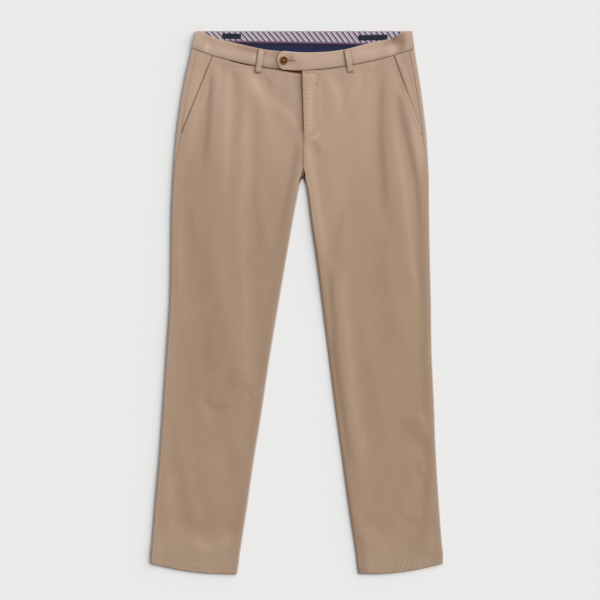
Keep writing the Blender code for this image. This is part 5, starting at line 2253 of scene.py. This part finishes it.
@dataclass
class BeltLoops:
    """The five belt loops: two that show on the front and three under the back."""

    width: float = 12.0
    wall: float = 1.4
    back_wall: float = 1.2
    rise: float = 1.9
    foot_z: float = 6.9
    clear: float = 0.7
    bars: Pair = (0.055, 0.94)
    side_shares: tuple[float, ...] = (
        -0.5, -0.485, -0.46, -0.42, -0.3, -0.1, 0.1, 0.3, 0.42, 0.46, 0.485, 0.5,
    )
    back_y: Pair = (520.0, 570.0)
    back_places: tuple[tuple[str, float], ...] = (
        ("belt_loop_back_right", -150.0),
        ("belt_loop_back_centre", 13.5),
        ("belt_loop_back_left", 177.0),
    )

    def front(self, place: LoopPlace, finish: Any) -> Piece:
        """Build one loop that bridges the band.

        Args:
            place: where its two ends are sewn.
            finish: its material.

        Returns:
            The loop.
        """
        top = np.array(place.top)
        along = np.array(place.foot) - top
        across = place.ways()[1]
        share = np.linspace(0, 1, 40)[:, None]
        sideways = np.array(self.side_shares)[None, :] * self.width
        x = top[0] + along[0] * share + across[0] * sideways
        y = top[1] + along[1] * share + across[1] * sideways
        start = place.start_z
        under = start + (self.foot_z - start) * ease(0.60, 0.84, share) + self.clear
        under = under + self.rise * np.sin(math.pi * np.minimum(share / 0.8, 1.0)) ** 0.8
        length = np.hypot(*along)
        in_from_side = self.width / 2 - np.abs(sideways)
        z = under + self.wall - rolled(in_from_side, 2.4, 0.8)
        z = z - rolled(share * length, 1.4, 0.6) - rolled((1 - share) * length, 1.4, 0.7)
        z = z - 0.18 * bell(np.abs(sideways) - 4.3, 0.9)
        for bar in self.bars:
            z = z - 0.55 * bell(share - bar, 0.03)
        # Painted shade along the loop's edges and its sewn foot.
        painted_shade = np.maximum(0.45 * bell(in_from_side, 0.9), 0.6 * bell((1 - share) * length, 1.2))
        sheet = Cloth(f"{place.node}_cloth", grid(x, y, z), grid(x, y, under), painted_shade=painted_shade)
        band = place.node.replace("belt_loop_front", "waistband")
        return sheet.laid(finish, Slot.TWILL, [band], place.node)

    def back(self, node: str, x: float, finish: Any) -> None:
        """Build one loop that lies flat under the back.

        Args:
            node: the solid that it stands for.
            x: X of its middle.
            finish: its material.
        """
        across = np.linspace(-0.5, 0.5, 9)[None, :] * self.width + x
        along = np.linspace(*reversed(self.back_y), 25)[:, None]
        edge = rolled(self.width / 2 - np.abs(across - x), 1.0, 0.4)
        lower = grid(across, along, edge)
        sheet = Cloth(f"{node}_cloth", grid(across, along, self.back_wall - edge), lower)
        sheet.laid(finish, Slot.TWILL, ["floor"], node)

    def build(self, finish: Any) -> list[Piece]:
        """Build all five loops.

        Args:
            finish: their material.

        Returns:
            The two front ones.
        """
        fronts = [self.front(place, finish) for place in LOOPS]
        for node, x in self.back_places:
            self.back(node, x, finish)
        return fronts


@dataclass
class FlyInside:
    """The shield and the closed zip's tape, hidden behind the fly."""

    shield_x: Pair = (-7.0, 33.0)
    shield_y: Pair = (478.0, 376.0)
    shield_z: float = 2.5
    zip_x: Pair = (-1.0, 27.0)
    zip_y: Pair = (476.0, 384.0)
    zip_z: float = 3.8
    wall: float = 0.8

    def strip(self, name: str, x: Pair, y: Pair, z: float) -> Cloth:
        """A flat strip with rounded edges.

        Args:
            name: its name.
            x: its two sides.
            y: its top and its foot.
            z: its upper face's height.

        Returns:
            The strip as cloth.
        """
        across = np.linspace(*x, 15)[None, :]
        along = np.linspace(*y, 30)[:, None]
        top = z - rolled(np.minimum(across - x[0], x[1] - across), 1.0, 0.25)
        return Cloth(name, grid(across, along, top), grid(across, along, top - self.wall))

    def build(self, cloth: Any, tape: Any) -> None:
        """Build both strips.

        Args:
            cloth: the shield's material, the darker twill copy that paints it as lying in shade.
            tape: the zip tape's material.
        """
        shield = self.strip("fly_shield_cloth", self.shield_x, self.shield_y, self.shield_z)
        shield.laid(cloth, Slot.TWILL, ["back_right", "back_left"], "fly_shield")
        closed = self.strip("fly_zip_tape", self.zip_x, self.zip_y, self.zip_z)
        closed.laid(tape, Slot.ZIP_TAPE, ["fly_shield"], "fly_zip")


class Surface:
    """The topmost cloth, for what is sewn on it."""

    def __init__(self, objects: list[Piece]) -> None:
        """Gather the meshes of the given pieces.

        Args:
            objects: the pieces that can lie on top.
        """
        points: list[Vector] = []
        faces: list[tuple[int, ...]] = []
        for found in objects:
            start = len(points)
            points.extend(vertex.co.copy() for vertex in found.data.vertices)
            faces.extend(tuple(start + i for i in face.vertices) for face in found.data.polygons)
        self.tree = BVHTree.FromPolygons(points, faces)

    def height(self, x: float, y: float) -> float:
        """Height of the topmost cloth, in millimetres."""
        hit = self.tree.ray_cast(Vector(metres(x, y, 100.0)), Vector((0, 0, -1)))[0]
        return hit.z / MM if hit else 0.0


@dataclass
class StitchTree:
    """The Geometry Nodes tree that lays one thread piece at each pitch along a line."""

    name: str = "stitch_run"
    sizes: Pair = (0.86, 1.1)
    sockets: dict[str, str] = field(default_factory=dict)

    def __post_init__(self) -> None:
        """Build the tree: a stretched ball on each point of the line, turned along it."""
        tree = bpy.data.node_groups.new(self.name, "GeometryNodeTree")
        self.tree = tree
        self.give_sockets(tree.interface)
        given = tree.nodes.new("NodeGroupInput").outputs
        line = self.node("GeometryNodeMeshToCurve", {}, {0: given["Geometry"]})
        spacing = {"Curve": line[0], "Length": given["Pitch"]}
        spots = self.node("GeometryNodeCurveToPoints", {"mode": "LENGTH"}, spacing)
        ball = self.node("GeometryNodeMeshUVSphere", {}, {"Segments": 6, "Rings": 5, "Radius": 1.0})
        half = self.node("ShaderNodeMath", {"operation": "MULTIPLY"}, {0: given["Stitch Length"], 1: 0.5})
        radius = given["Thread Radius"]
        size = self.node("ShaderNodeCombineXYZ", {}, {0: half[0], 1: radius, 2: radius})
        thread = self.node("GeometryNodeTransform", {}, {"Geometry": ball[0], "Scale": size[0]})
        along = {"Vector": spots["Tangent"]}
        aligned = self.node("FunctionNodeAlignRotationToVector", {"axis": "X"}, along)
        spin = self.node("ShaderNodeCombineXYZ", {}, {2: given["Turn"]})
        turned = self.node("FunctionNodeEulerToRotation", {}, {0: spin[0]})
        both = {0: aligned[0], 1: turned[0]}
        final = self.node("FunctionNodeRotateRotation", {"rotation_space": "LOCAL"}, both)
        span = {2: self.sizes[0], 3: self.sizes[1], "Seed": given["Seed"]}
        vary = self.node("FunctionNodeRandomValue", {"data_type": "FLOAT"}, span)
        placed = {"Points": spots["Points"], "Instance": thread[0], "Rotation": final[0], "Scale": vary[1]}
        copies = self.node("GeometryNodeInstanceOnPoints", {}, placed)
        real = self.node("GeometryNodeRealizeInstances", {}, {0: copies[0]})
        smooth = self.node("GeometryNodeSetShadeSmooth", {}, {0: real[0]})
        finish = {"Geometry": smooth[0], "Material": given["Thread"]}
        painted = self.node("GeometryNodeSetMaterial", {}, finish)
        tree.links.new(painted[0], tree.nodes.new("NodeGroupOutput").inputs[0])

    def give_sockets(self, face: Any) -> None:
        """Give the tree its inputs and its output.

        Args:
            face: the tree's interface.
        """
        face.new_socket("Geometry", in_out="INPUT", socket_type="NodeSocketGeometry")
        for label, kind in (
            ("Pitch", "NodeSocketFloat"),
            ("Stitch Length", "NodeSocketFloat"),
            ("Thread Radius", "NodeSocketFloat"),
            ("Turn", "NodeSocketFloat"),
            ("Seed", "NodeSocketInt"),
            ("Thread", "NodeSocketMaterial"),
        ):
            made = face.new_socket(label, in_out="INPUT", socket_type=kind)
            self.sockets[label] = made.identifier
        face.new_socket("Geometry", in_out="OUTPUT", socket_type="NodeSocketGeometry")

    def node(self, kind: str, settings: dict[str, Any], sockets: dict[Any, Any]) -> Any:
        """Add a node to this tree, and give its outputs."""
        return add_node(self.tree, kind, settings, sockets).outputs


class Stitch(Enum):
    """Kinds of stitch: pitch, length, thread radius and turn, in millimetres and degrees."""

    TOPSTITCH = (3.0, 2.5, 0.24, 0.0)
    FINE = (2.4, 1.9, 0.16, 0.0)
    DOT = (3.7, 1.7, 0.32, 0.0)
    BAR_TACK = (0.62, 2.6, 0.22, 82.0)
    PURL = (0.62, 1.9, 0.24, 90.0)


@dataclass
class Sewing:
    """All the stitches of one kind, along lines on the topmost cloth."""

    name: str
    kind: Stitch
    lines: list[Array]
    seed: int = 3
    proud: float = 0.45

    def build(self, tree: StitchTree, surface: Surface, thread: Any) -> Piece:
        """Lay the stitches.

        Args:
            tree: the tree that lays them.
            surface: the cloth that they lie on.
            thread: their material.

        Returns:
            The stitches as one plain mesh.
        """
        pitch, length, radius, turn = self.kind.value
        points = []
        edges = []
        for line in self.lines:
            start = len(points)
            for x, y in line:
                points.append(metres(x, y, surface.height(x, y) + radius * self.proud))
            edges.extend((start + i, start + i + 1) for i in range(len(line) - 1))
        mesh = bpy.data.meshes.new(self.name)
        mesh.from_pydata(points, edges, [])
        found = linked(self.name, mesh)
        modifier = found.modifiers.new("stitches", "NODES")
        modifier.node_group = tree.tree
        for label, value in (
            ("Pitch", pitch * MM),
            ("Stitch Length", length * MM),
            ("Thread Radius", radius * MM),
            ("Turn", math.radians(turn)),
            ("Seed", self.seed),
            ("Thread", thread),
        ):
            modifier[tree.sockets[label]] = value
        settle(found)
        return dressed(found, Slot.TWILL)


def close_points(points: Any, spacing: float = 1.0) -> Array:
    """Draw a smooth line through points.

    Args:
        points: the points to go through.
        spacing: distance between the line's own points.

    Returns:
        The line as close points.
    """
    dense = Line(tuple(tuple(point) for point in points)).sampled(24)
    run = np.concatenate([[0.0], np.cumsum(np.hypot(*np.diff(dense, axis=0).T))])
    places = np.linspace(0, run[-1], max(2, int(run[-1] / spacing)))
    return np.stack([np.interp(places, run, column) for column in dense.T], axis=-1)


@dataclass
class Seams:
    """Where the trousers are sewn through, as lines on the flat."""

    band: Waistband
    bar_spacing: float = 0.5
    mouth_bars: tuple[tuple[Point, Point], ...] = (
        ((-241.8, 359.5), (-235.4, 358.5)),
        ((264.0, 355.5), (258.0, 354.5)),
    )

    def hem(self, lie: LaidHalf) -> Array:
        """The hem's stitch line across one front.

        Args:
            lie: how that half lies.

        Returns:
            The line's points.
        """
        lines = lie.lines
        below = (lines.side_y[-1, 0] - lines.side_y[:, 0]) + HEM_UP
        row = int(np.argmin(np.abs(below)))
        x, y = lines.at(lines.length * np.linspace(0.012, 0.985, 90)[None, :])
        return np.stack([x[row], y[row]], axis=-1)

    def topstitch(self) -> list[Array]:
        """Pocket, coin pocket and hem lines."""
        sewn = [close_points(line) for line in (COIN_STITCH, *POCKET_STITCH.values())]
        return [*sewn, self.hem(RIGHT_LIE), self.hem(LEFT_LIE)]

    def dots(self) -> list[Array]:
        """The row of pale stitches down the middle of each front loop.

        Returns:
            A line for each loop.
        """
        found = []
        for place in LOOPS:
            top = np.array(place.top)
            along = np.array(place.foot) - top
            found.append(close_points((top + along * 0.12, top + along * 0.84)))
        return found

    def fine(self) -> list[Array]:
        """The two rows along each front loop.

        Returns:
            Two lines for each loop.
        """
        found = []
        for place in LOOPS:
            along, across = place.ways()
            for side in (-1, 1):
                start = place.top + along * 1.5 + across * 4.3 * side
                end = place.foot - along * 1.5 + across * 4.3 * side
                found.append(close_points((start, end)))
        return found

    def bar_tacks(self) -> list[Array]:
        """Short dense bars at the loops' ends and the pockets' mouths.

        Returns:
            A line for each bar.
        """
        bars = []
        for place in LOOPS:
            along, across = place.ways()
            for middle in (place.top + along * 2.7, place.foot - along * 3.0):
                bars.append((middle - across * 5.4, middle + across * 5.4))
        return [close_points(ends, self.bar_spacing) for ends in (*bars, *self.mouth_bars)]

    def purl(self) -> list[Array]:
        """The ring of stitches round the buttonhole.

        Returns:
            One line, round the slit.
        """
        low, high = self.band.slit_x
        y = self.band.slit_y
        half = 1.25
        ring = [(x, y + half) for x in np.linspace(low, high, 30)]
        for turn in np.linspace(0.3, math.pi - 0.3, 7):
            ring.append((high + 1.1 * math.sin(turn), y + half * math.cos(turn)))
        ring += [(x, y - half) for x in np.linspace(high, low, 30)]
        return [np.array(ring)]


def turned_form(
    name: str, centre: Point, profile: tuple[Point, ...], sides: int, *finishes: Any
) -> Piece:
    """Turn a profile round an upright axis, and close it at both ends.

    Args:
        name: the object's name.
        centre: the axis' X and Y.
        profile: radius and Z of each ring, from the foot up.
        sides: how many sides a ring has.
        finishes: its materials.

    Returns:
        The object, with its ring faces first, from the foot up.
    """
    x, y = centre[0] - BOX_CENTRE[0], centre[1] - BOX_CENTRE[1]
    points = [
        ((x + radius * math.cos(turn)) * MM, (y + radius * math.sin(turn)) * MM, z * MM)
        for radius, z in profile
        for turn in np.linspace(0, TURN, sides, endpoint=False)
    ]
    faces: list[tuple[int, ...]] = []
    for low in range(0, len(points) - sides, sides):
        for side in range(sides):
            after = (side + 1) % sides
            faces.append((low + side, low + after, low + sides + after, low + sides + side))
    faces.append(tuple(reversed(range(sides))))
    faces.append(tuple(range(len(points) - sides, len(points))))
    return linked(name, plain_mesh(name, points, faces, *finishes))


@dataclass
class Button:
    """A four-hole button, sewn on with thread and fastened through the tab."""

    centre: Point = (-26.5, 508.6)
    seat: float = 10.0
    sides: int = 64
    profile: tuple[Point, ...] = (
        (5.4, 0.0), (6.6, 0.06), (7.7, 0.35), (8.4, 0.9), (8.72, 1.5), (8.6, 2.15),
        (8.2, 2.7), (7.6, 2.98), (7.0, 3.0), (6.5, 2.85), (6.0, 2.5), (5.5, 2.3),
        (4.4, 2.2), (0.02, 2.15),
    )
    hole_radius: float = 0.95
    hole_offset: float = 1.7
    hole_sides: int = 16
    dish_from: int = 9
    thread_radius: float = 0.42
    thread_low: float = 0.4
    thread_steps: int = 13

    def build(self, horn: Any, dish: Any, thread: Any) -> None:
        """Build the button and its thread.

        Args:
            horn: the button's material.
            dish: its dished middle's material.
            thread: the thread's material.
        """
        profile = tuple((radius, self.seat + height) for radius, height in self.profile)
        button = turned_form("waist_button_horn", self.centre, profile, self.sides, horn, dish)
        mesh = button.data
        rings = [index // self.sides for index in range(len(mesh.polygons))]
        mesh.polygons.foreach_set("material_index", [int(ring >= self.dish_from) for ring in rings])
        drill = ((self.hole_radius, self.seat - 2), (self.hole_radius, self.seat + 6))
        for index, place in enumerate(self.holes()):
            carve(button, turned_form(f"thread_hole_{index}", place, drill, self.hole_sides))
        button.data.shade_smooth()
        button.data.set_sharp_from_angle(angle=math.radians(45))
        dressed(button, Slot.HORN, "waist_button")
        self.sew(thread)

    def holes(self) -> list[Point]:
        """The four thread holes' centres."""
        x, y, out = *self.centre, self.hole_offset
        return [(x + out * across, y + out * up) for across, up in ((1, 1), (-1, 1), (-1, -1), (1, -1))]

    def sew(self, thread: Any) -> None:
        """Cross two threads between the holes.

        Args:
            thread: their material.
        """
        holes = self.holes()
        curve = bpy.data.curves.new("button_thread", "CURVE")
        curve.dimensions = "3D"
        curve.bevel_depth = self.thread_radius * MM
        curve.bevel_resolution = 2
        curve.use_fill_caps = True
        for first, shift, top in ((0, 0.25, 3.15), (0, -0.35, 3.0), (1, 0.3, 3.4), (1, -0.3, 3.3)):
            start, end = holes[first], holes[first + 2]
            spline = curve.splines.new("POLY")
            spline.points.add(self.thread_steps - 1)
            for index, share in enumerate(np.linspace(0, 1, self.thread_steps)):
                x = start[0] + (end[0] - start[0]) * share + shift
                y = start[1] + (end[1] - start[1]) * share + shift * 0.4
                arch = (top - self.thread_low) * math.sin(math.pi * share) ** 0.35
                spline.points[index].co = (*metres(x, y, self.seat + self.thread_low + arch), 1.0)
        holder = linked("button_thread_curve", curve)
        mesh = baked(holder)
        bpy.data.objects.remove(holder)
        mesh.materials.clear()
        mesh.materials.append(thread)
        dressed(linked("button_thread", mesh), Slot.TWILL)


@dataclass
class Studio:
    """The pale surface, the soft light and the camera above the trousers."""

    floor_half: float = 8.0
    floor_z: float = -0.0003
    camera_height: float = 3.0
    sensor: float = 36.0
    field: float = 1.2628
    aim: Point = (0.0070, 0.0058)
    key_strength: float = 3.67
    key_colour: Colour = (1.0, 0.985, 0.96)
    key_direction: tuple[float, float, float] = (-0.80, -0.45, -0.60)
    key_angle: float = 70.0
    fill_strength: float = 0.40
    fill_colour: Colour = (0.985, 0.99, 1.0)

    def build(self, surface: Any) -> None:
        """Build the floor, the lights and the camera.

        Args:
            surface: the floor's material.
        """
        half = self.floor_half
        corners = [(-half, -half), (half, -half), (half, half), (-half, half)]
        points = [(x, y, self.floor_z) for x, y in corners]
        linked("floor", plain_mesh("floor", points, [(0, 1, 2, 3)], surface))
        sun = bpy.data.lights.new("key", "SUN")
        sun.energy = self.key_strength
        sun.angle = math.radians(self.key_angle)
        sun.color = self.key_colour
        key = linked("key", sun)
        key.rotation_euler = Vector(self.key_direction).to_track_quat("-Z", "Y").to_euler()
        world = bpy.data.worlds.new("studio")
        world.use_nodes = True
        background = world.node_tree.nodes["Background"]
        background.inputs["Color"].default_value = (*self.fill_colour, 1.0)
        background.inputs["Strength"].default_value = self.fill_strength
        scene = bpy.context.scene
        scene.world = world
        scene.view_settings.view_transform = "Standard"
        lens = bpy.data.cameras.new("camera")
        lens.sensor_width = self.sensor
        lens.lens = self.sensor * self.camera_height / self.field
        camera = linked("camera", lens)
        camera.location = (*self.aim, self.camera_height)
        scene.camera = camera


def main() -> None:
    """Build every piece in order."""
    logging.basicConfig(level=logging.INFO, format="%(name)s %(message)s")
    twill = Twill().material()
    # The band's copy is paler and has a brighter sheen colour: painted light.
    band_twill = Twill("khaki_twill_band", top_light=(0.495, 0.357, 0.270), sheen_and_nap_colour=(0.64, 0.54, 0.47)).material()
    # A darker copy of the twill that paints shade in the gaps, on undersides and cut edges, and on the fly
    # shield.
    shaded_twill = WovenCloth("twill_shaded_copy", (0.25, 0.125, 0.056), (0.20, 0.095, 0.040)).material()
    stripe = DiagonalStripe().material()
    piping = TwistedPiping().material()
    curtain = WovenCloth("navy_curtain", (0.018, 0.028, 0.100), (0.012, 0.014, 0.046)).material()
    label = WovenCloth("navy_label", (0.022, 0.025, 0.045), (0.010, 0.012, 0.024), 0.0007).material()
    tape = WovenCloth("zip_tape", (0.33, 0.24, 0.17), (0.27, 0.19, 0.13), 0.0012).material()
    horn = Horn("horn_effect", (0.085, 0.027, 0.008), (0.30, 0.150, 0.070)).material()
    dish = Horn("horn_effect_dish", (0.050, 0.012, 0.003), (0.110, 0.034, 0.010)).material()
    tonal = Thread("tonal_thread", (0.43, 0.30, 0.21)).material()
    pale = Thread("pale_thread", (0.60, 0.47, 0.36)).material()
    golden = Thread("button_thread", (0.66, 0.40, 0.20)).material()
    Studio().build(Paper().material())
    cloths = []
    for lie in (RIGHT_LIE, LEFT_LIE):
        cloths += [piece(lie).build(twill, shaded_twill) for piece in (BackPanel, FrontPanel, PocketFacing)]
    right_band, left_band = Waistband(RIGHT_LIE), Waistband(LEFT_LIE)
    cloths += [band.build(band_twill, shaded_twill) for band in (right_band, left_band)]
    BandLining().build(stripe, piping, curtain, label)
    cloths += BeltLoops().build(band_twill)
    FlyInside().build(shaded_twill, tape)
    surface = Surface(cloths)
    tree = StitchTree()
    seams = Seams(left_band)
    for name, kind, lines, thread in (
        ("topstitching", Stitch.TOPSTITCH, seams.topstitch(), tonal),
        ("fly_stitching", Stitch.TOPSTITCH, [close_points(FLY_CURVE, 0.8)], pale),
        ("loop_stitching", Stitch.FINE, seams.fine(), tonal),
        ("loop_dots", Stitch.DOT, seams.dots(), pale),
        ("bar_tacks", Stitch.BAR_TACK, seams.bar_tacks(), tonal),
        ("buttonhole_purl", Stitch.PURL, seams.purl(), tonal),
    ):
        Sewing(name, kind, lines).build(tree, surface, thread)
    Button().build(horn, dish, golden)


if __name__ == "__main__":
    main()
